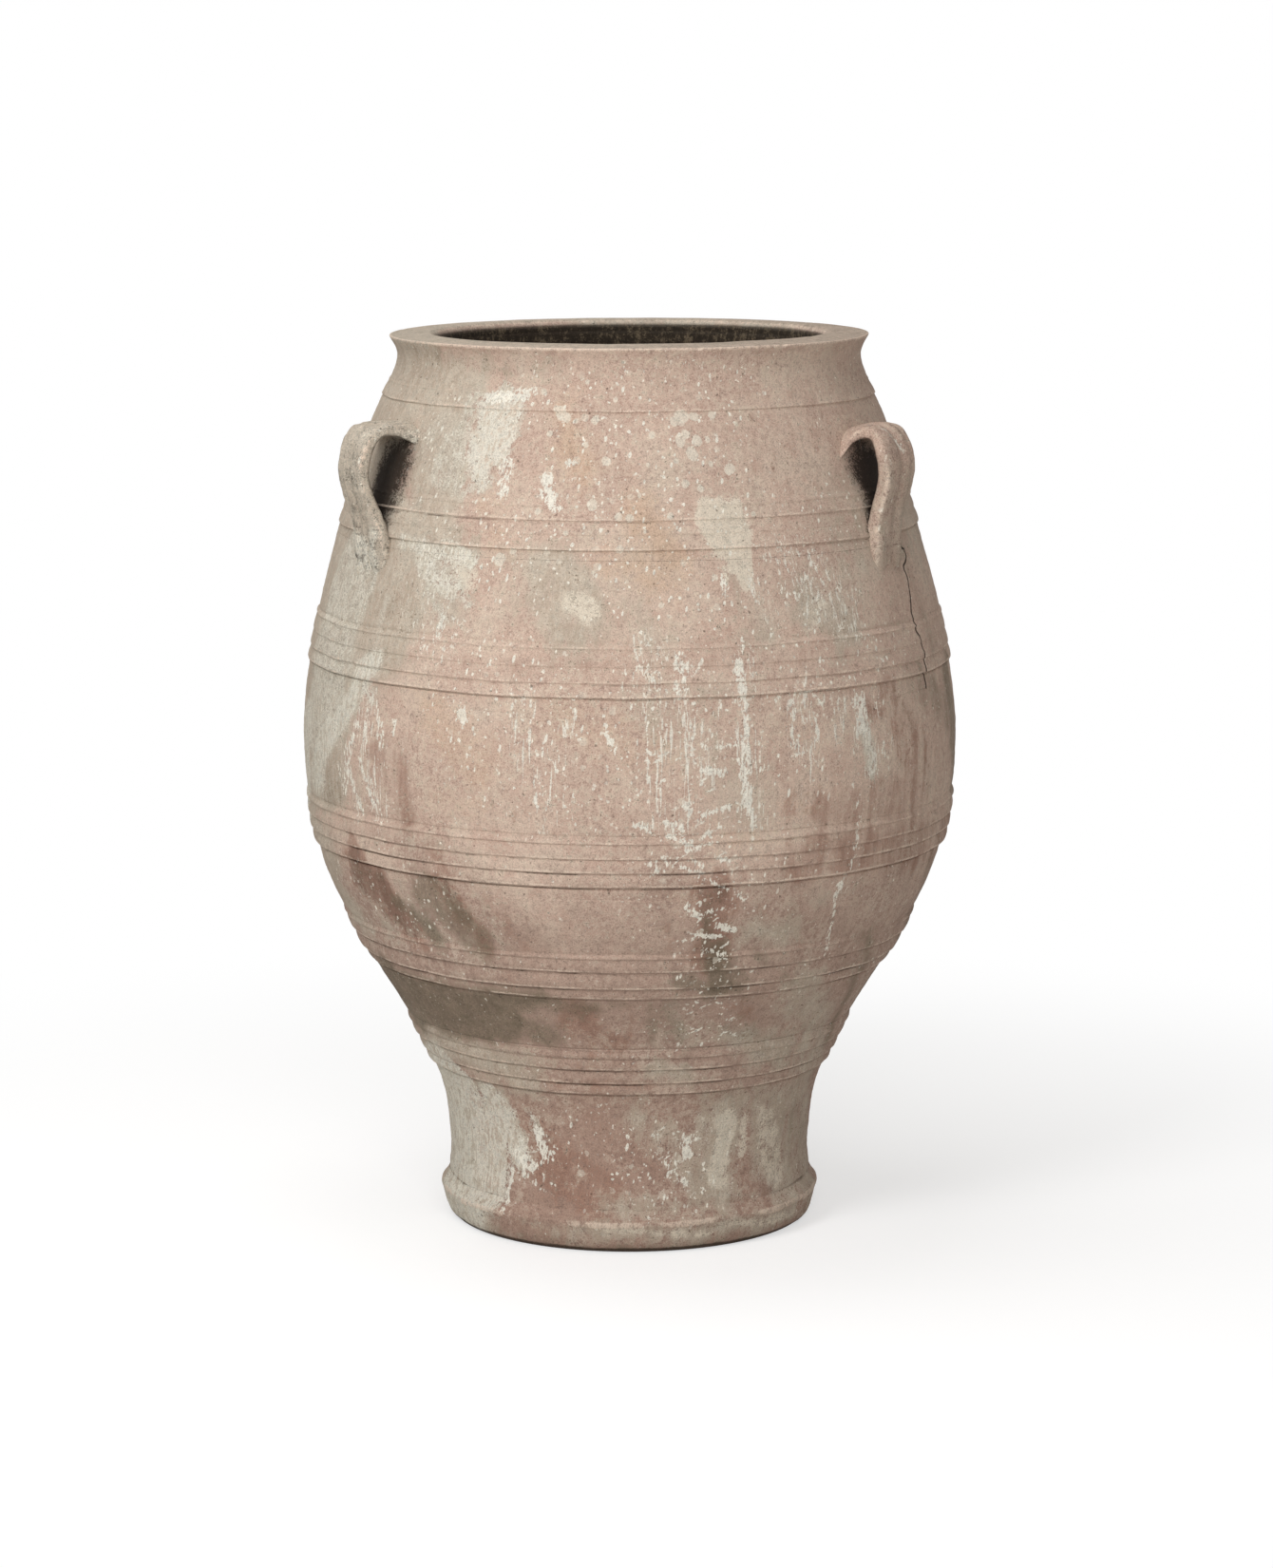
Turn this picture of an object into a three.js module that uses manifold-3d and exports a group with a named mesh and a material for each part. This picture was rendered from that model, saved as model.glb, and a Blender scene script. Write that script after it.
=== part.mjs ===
// A large storage jar of fired clay, thrown in stacked sections on a flat floor.
// Lengths are in millimetres. +Z is up, the floor's underside is z = 0, and -Y is the front.
// Every ring of the wall is its own solid. Ridged bands of clay cover the seams between the
// rings, and three strap handles are pressed onto the shoulder.

import * as THREE from 'three';
import { mergeVertices } from 'three/addons/utils/BufferGeometryUtils.js';
import Module from 'manifold-3d';

const wasm = await Module();
wasm.setup();

// Sides round the jar, and the clearances that neighbouring pieces keep
const SIDES = 36;
const SEAM_GAP = 0.35;
const BAND_GAP = 0.4;
const HANDLE_GAP = 0.4;

// The wall: how thick it is, and how far the ridge of a seam stands up into the next ring
const WALL_THICKNESS = 26;
const SEAM_RIDGE = 6;
const FLOOR_THICKNESS = 24;

// Outside of the wall without its bands, from the ground up to the neck: the radius at each
// place, and how far that place lies above the one before it
const WALL_RADII = {
  ground: 187,
  foot_ring_top: 196.5,
  waist: 195,
  above_waist: 205,
  lower_flare: 242.5,
  upper_flare: 291,
  under_belly: 332.5,
  belly: 351,
  over_belly: 338,
  shoulder: 307.5,
  upper_shoulder: 275.8,
  under_neck: 250.5,
  neck: 246.5,
};
const WALL_RISES = {
  foot_ring_top: 46,
  waist: 34,
  above_waist: 70,
  lower_flare: 80,
  upper_flare: 80,
  under_belly: 90,
  belly: 120,
  over_belly: 120,
  shoulder: 120,
  upper_shoulder: 100,
  under_neck: 58,
  neck: 16,
};

// Rows of facets on the outside of each ring of the wall, from the floor up
const WALL_ROWS = {
  wall_foot: 4,
  wall_flare: 3,
  wall_under_belly: 4,
  wall_belly: 6,
  wall_shoulder: 4,
  wall_upper_shoulder: 4,
};
const COLLAR_ROWS = 3;

// The rim: its height over the neck, the lip that overhangs it, and the flat crown between the
// lip's bevel and the rounded mouth
const RIM_HEIGHT = 26;
const RIM_WIDTH = 48.5;
const LIP_OVERHANG = 8.5;
const LIP_FLARE = 12;
const LIP_DROP = 4.5;
const LIP_BEVEL = 10;
const MOUTH_ROUNDING = 10;
const MOUTH_DEPTH = 32;

// The foot ring wrapped round the bottom of the wall: how far it stands out from the wall at
// the ground and at its raised edge, and how far that edge lies below its top
const FOOT_RING_TOE = 4.5;
const FOOT_RING_SWELL = 11.5;
const FOOT_RING_EDGE_DROP = 14;

// Ridged bands: the place on the wall's outline that each is measured from, how far above it
// the band begins, how tall it is, and how far it stands out
const BAND_PLACES = {
  band_foot: 'above_waist',
  band_flare: 'lower_flare',
  band_belly: 'under_belly',
  band_shoulder: 'belly',
  band_handle: 'over_belly',
  band_neck: 'upper_shoulder',
};
const BAND_OFFSETS = {
  band_foot: 25.5,
  band_flare: 60.5,
  band_belly: 18.5,
  band_shoulder: 92.5,
  band_handle: 117.5,
  band_neck: 33,
};
const BAND_HEIGHTS = {
  band_foot: 52.5,
  band_flare: 47,
  band_belly: 46,
  band_shoulder: 48.5,
  band_handle: 42.5,
  band_neck: 15,
};
const BAND_RELIEFS = {
  band_foot: 4.6,
  band_flare: 4.8,
  band_belly: 4.2,
  band_shoulder: 3.6,
  band_handle: 3,
  band_neck: 2.2,
};

// A band's fillets from the bottom up: the share of the band's height that each one takes, and
// how proud its lip is as a share of the band's relief
const BAND_FILLETS = {
  band_foot: [[0.25, 0.92], [0.3, 1], [0.26, 0.96], [0.19, 0.7]],
  band_flare: [[0.255, 0.68], [0.415, 1], [0.33, 0.95]],
  band_belly: [[0.326, 0.96], [0.326, 1], [0.348, 0.82]],
  band_shoulder: [[0.3, 1], [0.34, 0.85], [0.36, 0.75]],
  band_handle: [[0.364, 1], [0.318, 0.75], [0.318, 0.9]],
  band_neck: [[1, 1]],
};

// A fillet rises from its lower edge to a lip, stays proud up to its shoulder, and falls to the
// groove under the next one. The edge is what is left of the clay at the band's ends.
const FILLET_LIP = 2.6;
const BAND_EDGE = 1.1;
const SHOULDER_AT_SHARE = 0.62;
const SHOULDER_SHARE = 0.86;
const GROOVE_SHARE = 0.42;

// Strap handles: where they stand round the jar and how far each hand-pulled strap stands out,
// how far their top lies over the upper shoulder, how far they come down, and the strap's width
// and thickness. Within the hug the strap bends round the jar with the wall.
const HANDLE_TURNS = { handle_right: 60, handle_back: 180, handle_left: -60 };
const HANDLE_STANDS = { handle_right: 38, handle_back: 40, handle_left: 43 };
const HANDLE_OVER_SHOULDER = 6;
const HANDLE_DROP = 145;
const HANDLE_WIDTH = 56;
const HANDLE_THICKNESS = 16;
const HANDLE_DROOP = 15;
const HANDLE_RIB = 1.6;
const HANDLE_HUG = 24;
const HANDLE_STEPS = 24;
const STRAP_SIDES = 14;

// The strap's way from its upper root to its lower one, as shares of the sizes above. The front
// half of its width is the one that faces the front of the jar. Droop is how far the edges of
// the flared root hang below its middle, and thin is how much thinner the edges are.
const HANDLE_SHAPE = [
  { down: 0.05, out: -0.3, front: 0.79, back: 0.91, thickness: 1.15, droop: 1, thin: 0.4 },
  { down: 0.02, out: 0.03, front: 0.77, back: 0.87, thickness: 1.1, droop: 0.95, thin: 0.4 },
  { down: 0, out: 0.35, front: 0.64, back: 0.7, thickness: 0.85, droop: 0.36, thin: 0.2 },
  { down: 0, out: 0.66, front: 0.54, back: 0.55, thickness: 0.82, droop: 0.08, thin: 0 },
  { down: 0.04, out: 0.93, front: 0.53, back: 0.5, thickness: 0.95, droop: 0, thin: 0 },
  { down: 0.15, out: 1, front: 0.57, back: 0.5, thickness: 1, droop: 0, thin: 0 },
  { down: 0.28, out: 0.92, front: 0.56, back: 0.48, thickness: 1, droop: 0, thin: 0 },
  { down: 0.42, out: 0.67, front: 0.55, back: 0.46, thickness: 1.03, droop: 0, thin: 0 },
  { down: 0.54, out: 0.42, front: 0.56, back: 0.43, thickness: 1.05, droop: 0, thin: 0 },
  { down: 0.67, out: 0.2, front: 0.62, back: 0.38, thickness: 1.05, droop: 0, thin: 0 },
  { down: 0.79, out: 0.08, front: 0.68, back: 0.37, thickness: 1.06, droop: 0, thin: 0 },
  { down: 0.88, out: 0, front: 0.71, back: 0.43, thickness: 0.9, droop: 0, thin: 0.2 },
  { down: 1, out: -0.14, front: 0.6, back: 0.46, thickness: 0.7, droop: 0, thin: 0.3 },
];

const CLAY_PALE = 0xbba392;
const CLAY_BAND = 0xb08e80;
const CLAY_LIME = 0xbcab99;
const CLAY_DARK = 0x8f7263;
const RING_COLOURS = [0x9c7a6a, 0x94776a, 0xa5867a, 0xb49484, 0xb59a8a, 0xb79c8b];

// The outline's places with their heights over the ground
function outlinePlaces() {
  let height = 0;
  return Object.entries(WALL_RADII).map(([place, radius]) => {
    height += WALL_RISES[place] ?? 0;
    return { place, height, radius };
  });
}

const outline = outlinePlaces();
const neck = outline[outline.length - 1];

function placeHeight(name) {
  return outline.find(({ place }) => place === name).height;
}

// Radius of a smooth curve through the outline's places
function smoothOutline(height) {
  const last = outline.length - 1;
  let i = 0;
  while (i < last - 1 && height > outline[i + 1].height) {
    i += 1;
  }
  const slopeAt = (k) => {
    const before = outline[Math.max(k - 1, 0)];
    const after = outline[Math.min(k + 1, last)];
    return k === last ? 0 : (after.radius - before.radius) / (after.height - before.height);
  };
  const low = outline[i];
  const high = outline[i + 1];
  const step = high.height - low.height;
  const t = (height - low.height) / step;
  const ease = t * t * (3 - 2 * t);
  const bendLow = t * (1 - t) * (1 - t) * step * slopeAt(i);
  const bendHigh = t * t * (t - 1) * step * slopeAt(i + 1);
  return low.radius + (high.radius - low.radius) * ease + bendLow + bendHigh;
}

const bands = Object.keys(BAND_PLACES).map((node) => {
  const bottom = placeHeight(BAND_PLACES[node]) + BAND_OFFSETS[node];
  return { node, bottom, top: bottom + BAND_HEIGHTS[node], relief: BAND_RELIEFS[node] };
});

// A seam lies behind the middle of each band
const seams = bands.map((band) => (band.bottom + band.top) / 2);

// Heights at which the wall has a row of corners, from the floor's top to the neck
function wallRowHeights() {
  const heights = [0, FLOOR_THICKNESS];
  const addRows = (from, to, rows) => {
    for (let k = 1; k <= rows; k += 1) {
      heights.push(from + (to - from) * (k / rows));
    }
  };
  Object.values(WALL_ROWS).forEach((rows, i) => {
    addRows(i === 0 ? FLOOR_THICKNESS : seams[i - 1], seams[i], rows);
  });
  addRows(seams[seams.length - 1], neck.height, COLLAR_ROWS);
  return heights;
}

const rowHeights = wallRowHeights();

// The wall as it is faceted: straight between its rows
function wallRadius(height) {
  let i = 0;
  while (i < rowHeights.length - 2 && height > rowHeights[i + 1]) {
    i += 1;
  }
  const t = (height - rowHeights[i]) / (rowHeights[i + 1] - rowHeights[i]);
  const low = smoothOutline(rowHeights[i]);
  return low + (smoothOutline(rowHeights[i + 1]) - low) * t;
}

// Inside of the wall, one wall thickness behind the outside
function innerRadius(height) {
  const reach = WALL_THICKNESS / 2;
  const slope = (smoothOutline(height + reach) - smoothOutline(height - reach)) / (2 * reach);
  return smoothOutline(height) - WALL_THICKNESS * Math.hypot(1, slope);
}

// Turns a closed outline of radius and height round the upright axis
function turned(profile) {
  const points = profile.map(([radius, height]) => new THREE.Vector2(radius, height));
  if (points[0].x > 0) {
    points.push(points[0].clone());
  }
  const geometry = new THREE.LatheGeometry(points, SIDES);
  geometry.rotateX(Math.PI / 2);
  geometry.deleteAttribute('normal');
  geometry.deleteAttribute('uv');
  return mergeVertices(geometry, 1e-4);
}

function clayMesh(name, geometry, colour) {
  geometry.computeVertexNormals();
  const material = new THREE.MeshStandardMaterial({ color: colour, roughness: 0.95, metalness: 0 });
  const mesh = new THREE.Mesh(geometry, material);
  mesh.name = name;
  return mesh;
}

// Corners of a curve that leaves start, bends towards control and arrives at end
function bend(start, control, end, steps) {
  const [from, pull, to] = [start, control, end].map(([radius, height]) => new THREE.Vector2(radius, height));
  return new THREE.QuadraticBezierCurve(from, pull, to).getPoints(steps).map(({ x, y }) => [x, y]);
}

// The ridge of a seam across the wall, from the outside in
function seamRidge(height, lift) {
  const outer = wallRadius(height + lift);
  const inner = innerRadius(height);
  const middle = (wallRadius(height) + inner) / 2;
  return [[outer, height + lift], [middle, height + lift + SEAM_RIDGE], [inner, height + lift]];
}

// Outside and inside corners of the wall strictly between two heights
function wallCorners(from, to) {
  const between = rowHeights.filter((height) => height > from + SEAM_GAP && height < to - SEAM_GAP);
  const outside = between.map((height) => [wallRadius(height), height]);
  const inside = between.filter((height, i) => i % 2 === between.length % 2);
  return { outside, inside: inside.reverse().map((height) => [innerRadius(height), height]) };
}

function wallRing(node, i) {
  const from = i === 0 ? FLOOR_THICKNESS : seams[i - 1];
  const { outside, inside } = wallCorners(from, seams[i]);
  const top = seamRidge(seams[i], 0);
  const bottom = seamRidge(from, SEAM_GAP).reverse();
  if (i === 0) {
    bottom.splice(1, 1);
  }
  return clayMesh(node, turned([...outside, ...top, ...inside, ...bottom]), RING_COLOURS[i]);
}

// Neck, overhanging lip, flat crown and rounded mouth in one thick collar
function rimCollar() {
  const from = seams[seams.length - 1];
  const { outside } = wallCorners(from, neck.height);
  const top = neck.height + RIM_HEIGHT;
  const lip = neck.radius + LIP_OVERHANG;
  const mouth = lip - RIM_WIDTH;
  const lipEdge = top - LIP_DROP;
  const crownOuter = [lip - LIP_BEVEL, top];
  const crownInner = [mouth + MOUTH_ROUNDING, top];
  const mouthEdge = [mouth, top - MOUTH_ROUNDING];
  const profile = [
    ...outside,
    [neck.radius, neck.height],
    ...bend([neck.radius, lipEdge - LIP_FLARE], [neck.radius, lipEdge - LIP_FLARE / 2], [lip, lipEdge], 3),
    ...bend([lip, lipEdge], [lip - LIP_BEVEL / 4, top], crownOuter, 2).slice(1),
    ...bend(crownInner, [mouth, top], mouthEdge, 3),
    [mouth, top - MOUTH_DEPTH],
    ...seamRidge(from, SEAM_GAP).reverse(),
  ];
  return clayMesh('rim_collar', turned(profile), CLAY_LIME);
}

// Front of a band from the bottom up, and its back, which lies on the facets of the wall
function bandProfile(band) {
  const proud = (height, relief) => [wallRadius(height) + BAND_GAP + relief, height];
  const fillets = BAND_FILLETS[band.node];
  const front = [proud(band.bottom, BAND_EDGE)];
  let edge = band.bottom;
  fillets.forEach(([share, lip], i) => {
    const fillet = (band.top - band.bottom) * share;
    const relief = band.relief * lip;
    const last = i === fillets.length - 1;
    front.push(proud(edge + FILLET_LIP, relief));
    front.push(proud(edge + fillet * SHOULDER_AT_SHARE, relief * SHOULDER_SHARE));
    edge = last ? band.top : edge + fillet;
    front.push(proud(edge, last ? BAND_EDGE : relief * GROOVE_SHARE));
  });
  const rows = rowHeights.filter((height) => height > band.bottom && height < band.top);
  const back = [band.top, ...rows.reverse(), band.bottom].map((height) => proud(height, 0));
  return { front, back };
}

function ridgedBand(band) {
  const { front, back } = bandProfile(band);
  return clayMesh(band.node, turned([...front, ...back]), CLAY_BAND);
}

// The rounded ring round the bottom, with a raised edge near its top
function footRing() {
  const top = WALL_RISES.foot_ring_top;
  const edge = top - FOOT_RING_EDGE_DROP;
  const toe = wallRadius(0) + FOOT_RING_TOE;
  const proud = (height, relief) => [wallRadius(height) + BAND_GAP + relief, height];
  const raisedEdge = proud(edge, FOOT_RING_SWELL);
  const profile = [
    ...bend([toe, 0], [raisedEdge[0] - BAND_EDGE, edge / 3], raisedEdge, 4),
    ...bend(raisedEdge, proud(edge + FOOT_RING_EDGE_DROP / 2, FOOT_RING_SWELL), proud(top, BAND_EDGE), 3).slice(1),
    ...[top, FLOOR_THICKNESS, 0].map((height) => proud(height, 0)),
  ];
  return clayMesh('foot_ring', turned(profile), CLAY_DARK);
}

// The round slab that the first ring of the wall stands on
function floorSlab() {
  const rim = [0, FLOOR_THICKNESS].map((height) => [wallRadius(height), height]);
  return clayMesh('floor_slab', turned([[0, 0], ...rim, [0, FLOOR_THICKNESS]]), CLAY_DARK);
}

// All that lies inside the wall and its bands, grown by the handles' clearance
function jarEnvelope() {
  const step = 0.05;
  const bare = rowHeights.filter((height) => !bands.some(({ bottom, top }) => height >= bottom && height <= top));
  const skin = bare.map((height) => [wallRadius(height), height]);
  bands.forEach((band) => {
    skin.push([wallRadius(band.bottom), band.bottom - step]);
    skin.push(...bandProfile(band).front);
    skin.push([wallRadius(band.top), band.top + step]);
  });
  skin.sort((a, b) => a[1] - b[1]);
  const grown = skin.map(([radius, height]) => [radius + HANDLE_GAP, height]);
  return turned([[0, 0], ...grown, [0, neck.height]]);
}

// The strap's cross-section, as shares of its half widths and half thickness: nearly flat faces
// with rounded edges
function strapSection() {
  const soften = (value, power) => Math.sign(value) * Math.abs(value) ** power;
  return Array.from({ length: STRAP_SIDES }, (_, k) => {
    const turn = (k / STRAP_SIDES) * 2 * Math.PI;
    return { across: soften(Math.sin(turn), 0.5), out: soften(Math.cos(turn), 0.45), rib: k === 0 };
  });
}

// The handle's shape at a share of the way along the strap
function alongHandle(share) {
  const place = share * (HANDLE_SHAPE.length - 1);
  const i = Math.min(Math.floor(place), HANDLE_SHAPE.length - 2);
  const between = (key) => THREE.MathUtils.lerp(HANDLE_SHAPE[i][key], HANDLE_SHAPE[i + 1][key], place - i);
  return Object.fromEntries(Object.keys(HANDLE_SHAPE[i]).map((key) => [key, between(key)]));
}

// The strap's middle line, which stands out from the wall and follows its slope
function handleLine(stand) {
  const top = placeHeight('upper_shoulder') + HANDLE_OVER_SHOULDER;
  const places = HANDLE_SHAPE.map(({ down, out }) => {
    const height = top - HANDLE_DROP * down;
    return new THREE.Vector3(smoothOutline(height) + stand * out, 0, height);
  });
  return new THREE.CatmullRomCurve3(places);
}

// A strap swept along its bent middle line, before its ends are fitted to the jar. Facing is 1
// where its front half lies towards +Y, and -1 where it lies towards -Y.
function handleStrap(stand, facing) {
  const line = handleLine(stand);
  const section = strapSection();
  const positions = [];
  for (let i = 0; i <= HANDLE_STEPS; i += 1) {
    const middle = line.getPoint(i / HANDLE_STEPS);
    const along = line.getTangent(i / HANDLE_STEPS);
    const shape = alongHandle(i / HANDLE_STEPS);
    const clear = THREE.MathUtils.clamp((shape.out * stand) / HANDLE_HUG, 0, 1);
    section.forEach(({ across, out, rib }) => {
      const aside = across * HANDLE_WIDTH * (across > 0 ? shape.front : shape.back);
      const thin = 1 - shape.thin * across ** 2;
      const proud = (out * thin * shape.thickness * HANDLE_THICKNESS) / 2 + (rib ? HANDLE_RIB : 0);
      const sag = HANDLE_DROOP * shape.droop * Math.abs(across) ** 3;
      const radius = middle.x - along.z * proud;
      const turn = aside / radius;
      positions.push(
        THREE.MathUtils.lerp(radius * Math.cos(turn), radius, clear),
        facing * THREE.MathUtils.lerp(radius * Math.sin(turn), aside, clear),
        middle.z + along.x * proud - sag,
      );
    });
  }
  const index = [];
  const addFace = (a, b, c) => index.push(...(facing > 0 ? [a, b, c] : [a, c, b]));
  for (let i = 0; i < HANDLE_STEPS; i += 1) {
    for (let k = 0; k < STRAP_SIDES; k += 1) {
      const here = i * STRAP_SIDES + k;
      const beside = i * STRAP_SIDES + ((k + 1) % STRAP_SIDES);
      addFace(here, here + STRAP_SIDES, beside);
      addFace(beside, here + STRAP_SIDES, beside + STRAP_SIDES);
    }
  }
  const lastRow = HANDLE_STEPS * STRAP_SIDES;
  for (let k = 1; k < STRAP_SIDES - 1; k += 1) {
    addFace(0, k, k + 1);
    addFace(lastRow, lastRow + k + 1, lastRow + k);
  }
  const geometry = new THREE.BufferGeometry();
  geometry.setAttribute('position', new THREE.Float32BufferAttribute(positions, 3));
  geometry.setIndex(index);
  return geometry;
}

function toSolid(geometry) {
  const vertProperties = Float32Array.from(geometry.attributes.position.array);
  const triVerts = Uint32Array.from(geometry.index.array);
  return new wasm.Manifold(new wasm.Mesh({ numProp: 3, vertProperties, triVerts }));
}

function toGeometry(solid) {
  const mesh = solid.getMesh();
  const geometry = new THREE.BufferGeometry();
  geometry.setAttribute('position', new THREE.BufferAttribute(mesh.vertProperties, 3));
  geometry.setIndex(new THREE.BufferAttribute(mesh.triVerts, 1));
  return geometry;
}

// A handle turned to its place, its two ends cut to lie on the wall and the band
function fittedHandle(name, degrees, envelope) {
  const strap = handleStrap(HANDLE_STANDS[name], degrees > 0 ? -1 : 1);
  strap.rotateZ(THREE.MathUtils.degToRad(degrees - 90));
  const fitted = toSolid(strap).subtract(envelope);
  return clayMesh(name, toGeometry(fitted), CLAY_PALE);
}

const group = new THREE.Group();
group.add(floorSlab());
group.add(footRing());
Object.keys(WALL_ROWS).forEach((node, i) => group.add(wallRing(node, i)));
group.add(rimCollar());
bands.forEach((band) => group.add(ridgedBand(band)));
const envelope = toSolid(jarEnvelope());
Object.entries(HANDLE_TURNS).forEach(([name, degrees]) => {
  group.add(fittedHandle(name, degrees, envelope));
});

export default group;
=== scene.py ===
import itertools
import math

import bpy
import numpy as np
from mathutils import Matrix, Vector


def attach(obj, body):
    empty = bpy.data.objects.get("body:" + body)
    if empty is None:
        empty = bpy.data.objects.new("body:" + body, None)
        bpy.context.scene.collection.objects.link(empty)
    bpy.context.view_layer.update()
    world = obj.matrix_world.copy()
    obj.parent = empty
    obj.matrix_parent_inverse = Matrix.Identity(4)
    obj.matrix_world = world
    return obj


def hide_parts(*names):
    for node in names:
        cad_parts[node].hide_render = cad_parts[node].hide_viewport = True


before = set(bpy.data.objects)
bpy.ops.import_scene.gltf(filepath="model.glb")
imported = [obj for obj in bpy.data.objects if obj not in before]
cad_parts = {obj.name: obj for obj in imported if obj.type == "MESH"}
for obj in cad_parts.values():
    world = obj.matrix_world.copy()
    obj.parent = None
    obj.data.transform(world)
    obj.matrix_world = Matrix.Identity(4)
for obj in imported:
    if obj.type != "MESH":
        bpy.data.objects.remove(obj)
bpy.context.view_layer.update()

MM = 0.001

# Outside of the wall without its bands, the same as in the solids: height and radius, in millimetres
WALL_OUTLINE = np.array([
    (0, 187), (46, 196.5), (80, 195), (150, 205), (230, 242.5), (310, 291), (400, 332.5),
    (520, 351), (640, 338), (760, 307.5), (860, 275.8), (918, 250.5), (934, 246.5),
])
# No corner stands farther out than this
WIDEST = 350.7
WALL_THICKNESS = 26
# Deeper than this under the outside, a corner belongs to the inside
SKIN_DEPTH = 8
FLOOR_THICKNESS = 24
NECK_HEIGHT = WALL_OUTLINE[-1, 0]

# Ridged bands, from the bottom up. Each ridge: height of its lower edge, how far it stands out there,
# how far the clay stands out just under that edge, and how dark the painted shade in the line under it
# is, which also sets the painted highlight on its crest. The last number is where the band ends.
BANDS = {
    "band_foot": ((
        (175.6, 4.4, -0.5, 0.6), (188.4, 4.8, 1.6, 0.8), (204.5, 4.6, 1.8, 0.7), (217.9, 3.2, 1.8, 0.3),
    ), 228.2),
    "band_flare": ((
        (290.6, 3.2, -0.6, 0.5), (302.6, 5.2, 1.3, 0.9), (322.3, 4.8, 1.8, 0.8), (337.2, 2.8, 1.9, 0.3),
    ), 343),
    "band_belly": ((
        (418.5, 4.6, -0.8, 0.9), (433.7, 4.6, 1.8, 0.8), (448.5, 3.9, 1.8, 0.6), (464.2, 2.8, 1.2, 0.4),
    ), 472),
    "band_shoulder": ((
        (612.7, 3.3, -0.5, 0.8), (627, 2.9, 1.3, 0.5), (643.6, 2.5, 1.5, 0.15), (661, 2.2, 1.2, 0.15),
    ), 666),
    "band_handle": ((
        (757.4, 2.6, -0.4, 0.6), (772.9, 1.7, 1.1, 0.1), (786.6, 2.4, 0.8, 0.7), (800, 1.2, 0.7, 0.05),
    ), 806),
    "band_neck": (((892.9, 1.6, -0.3, 0.5), (908.2, 1.0, 0.7, 0.1)), 912),
}
# Heights at which the rings of the wall meet
SEAMS = (201.75, 314, 441.5, 636.75, 778.75, 900.5)
WALL_RINGS = (
    "wall_foot", "wall_flare", "wall_under_belly", "wall_belly", "wall_shoulder", "wall_upper_shoulder",
)
# Lines pressed into the wall: height, depth and half width
GROOVES = (
    (174.4, 1.0, 0.9), (229.4, 0.8, 1.0), (289.4, 1.1, 0.9), (344, 0.2, 1.0), (405, 0.3, 1.0),
    (417.2, 1.4, 1.0), (473, 0.6, 1.0), (596.5, 0.3, 1.0), (611.5, 0.9, 0.8), (667, 0.45, 1.3),
    (756.3, 0.6, 0.8), (806.8, 0.15, 0.9), (892, 0.4, 0.7), (912.8, 0.1, 0.8),
)
# Where each strap stands, in degrees to the right of the front
HANDLE_TURNS = {"handle_right": 60, "handle_back": 180, "handle_left": -60}

# How finely the turned pieces are cut: corners round the jar, how much closer they stand at the front,
# and the height between rows outside and inside
TURN_STEPS = 640
CROWDING = 0.4
ROW = 2.5
INNER_ROW = 18.0

# Degrees in one radian, rounded
DEGREES_IN_RADIAN = 57.3
# Radius of the circle on which noise round the jar is taken
NOISE_RADIUS = 300


def outline_slopes():
    """Slope of the outline at each of its points."""
    heights, radii = WALL_OUTLINE.T
    slopes = np.zeros(len(heights))
    slopes[1:-1] = (radii[2:] - radii[:-2]) / (heights[2:] - heights[:-2])
    slopes[0] = (radii[1] - radii[0]) / (heights[1] - heights[0])
    return slopes


SLOPES = outline_slopes()


def wall_radius(height):
    """Radius of the bare wall at heights in millimetres."""
    heights, radii = WALL_OUTLINE.T
    height = np.clip(np.asarray(height, float), 0, NECK_HEIGHT)
    i = np.clip(np.searchsorted(heights, height) - 1, 0, len(heights) - 2)
    step = heights[i + 1] - heights[i]
    t = (height - heights[i]) / step
    ease = t * t * (3 - 2 * t)
    bend = t * (1 - t) ** 2 * step * SLOPES[i] + t * t * (t - 1) * step * SLOPES[i + 1]
    return radii[i] + (radii[i + 1] - radii[i]) * ease + bend


def inner_radius(height):
    """Radius of the inside, one wall thickness in, measured square to the outside."""
    reach = 5.0
    slope = (wall_radius(height + reach) - wall_radius(height - reach)) / (2 * reach)
    return wall_radius(height) - WALL_THICKNESS * np.hypot(1, slope)


def step_up(value, low, high):
    """Smooth rise from 0 at low to 1 at high."""
    t = np.clip((value - low) / (high - low), 0, 1)
    return t * t * (3 - 2 * t)


def bell(value, middle, half):
    """1 at the middle, falling off to both sides."""
    return np.exp(-((value - middle) / half) ** 2)


def lattice_noise(points, size, seed):
    """Smooth random values between -1 and 1 at points, in cells of the given size."""
    cells = np.asarray(points, float) / size
    base = np.floor(cells).astype(np.int64)
    part = cells - base
    part = part * part * (3 - 2 * part)
    total = np.zeros(len(cells))
    for corner in itertools.product((0, 1), repeat=3):
        key = base + corner
        mixed = key[:, 0] * 73856093 ^ key[:, 1] * 19349663 ^ key[:, 2] * 83492791 ^ seed * 2654435761
        mixed = (mixed ^ (mixed >> 13)) * 1274126177 & 0xFFFFFFFF
        value = (mixed ^ (mixed >> 16)) & 0xFFFF
        weight = np.prod(np.where(corner, part, 1 - part), axis=1)
        total += weight * (value / 32767.5 - 1)
    return total


def noise_sum(points, *parts):
    """Noises added up, each given as its amount, cell size and seed."""
    return sum(amount * lattice_noise(points, size, seed) for amount, size, seed in parts)


def layered_noise(points, size, seed, layers=3):
    """Noise in cells of the given size, with finer and weaker noise on it."""
    total = np.zeros(len(points))
    share = 1.0
    for k in range(layers):
        total += share * lattice_noise(points, size * 0.5 ** k, seed + k)
        share *= 0.5
    return total
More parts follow.
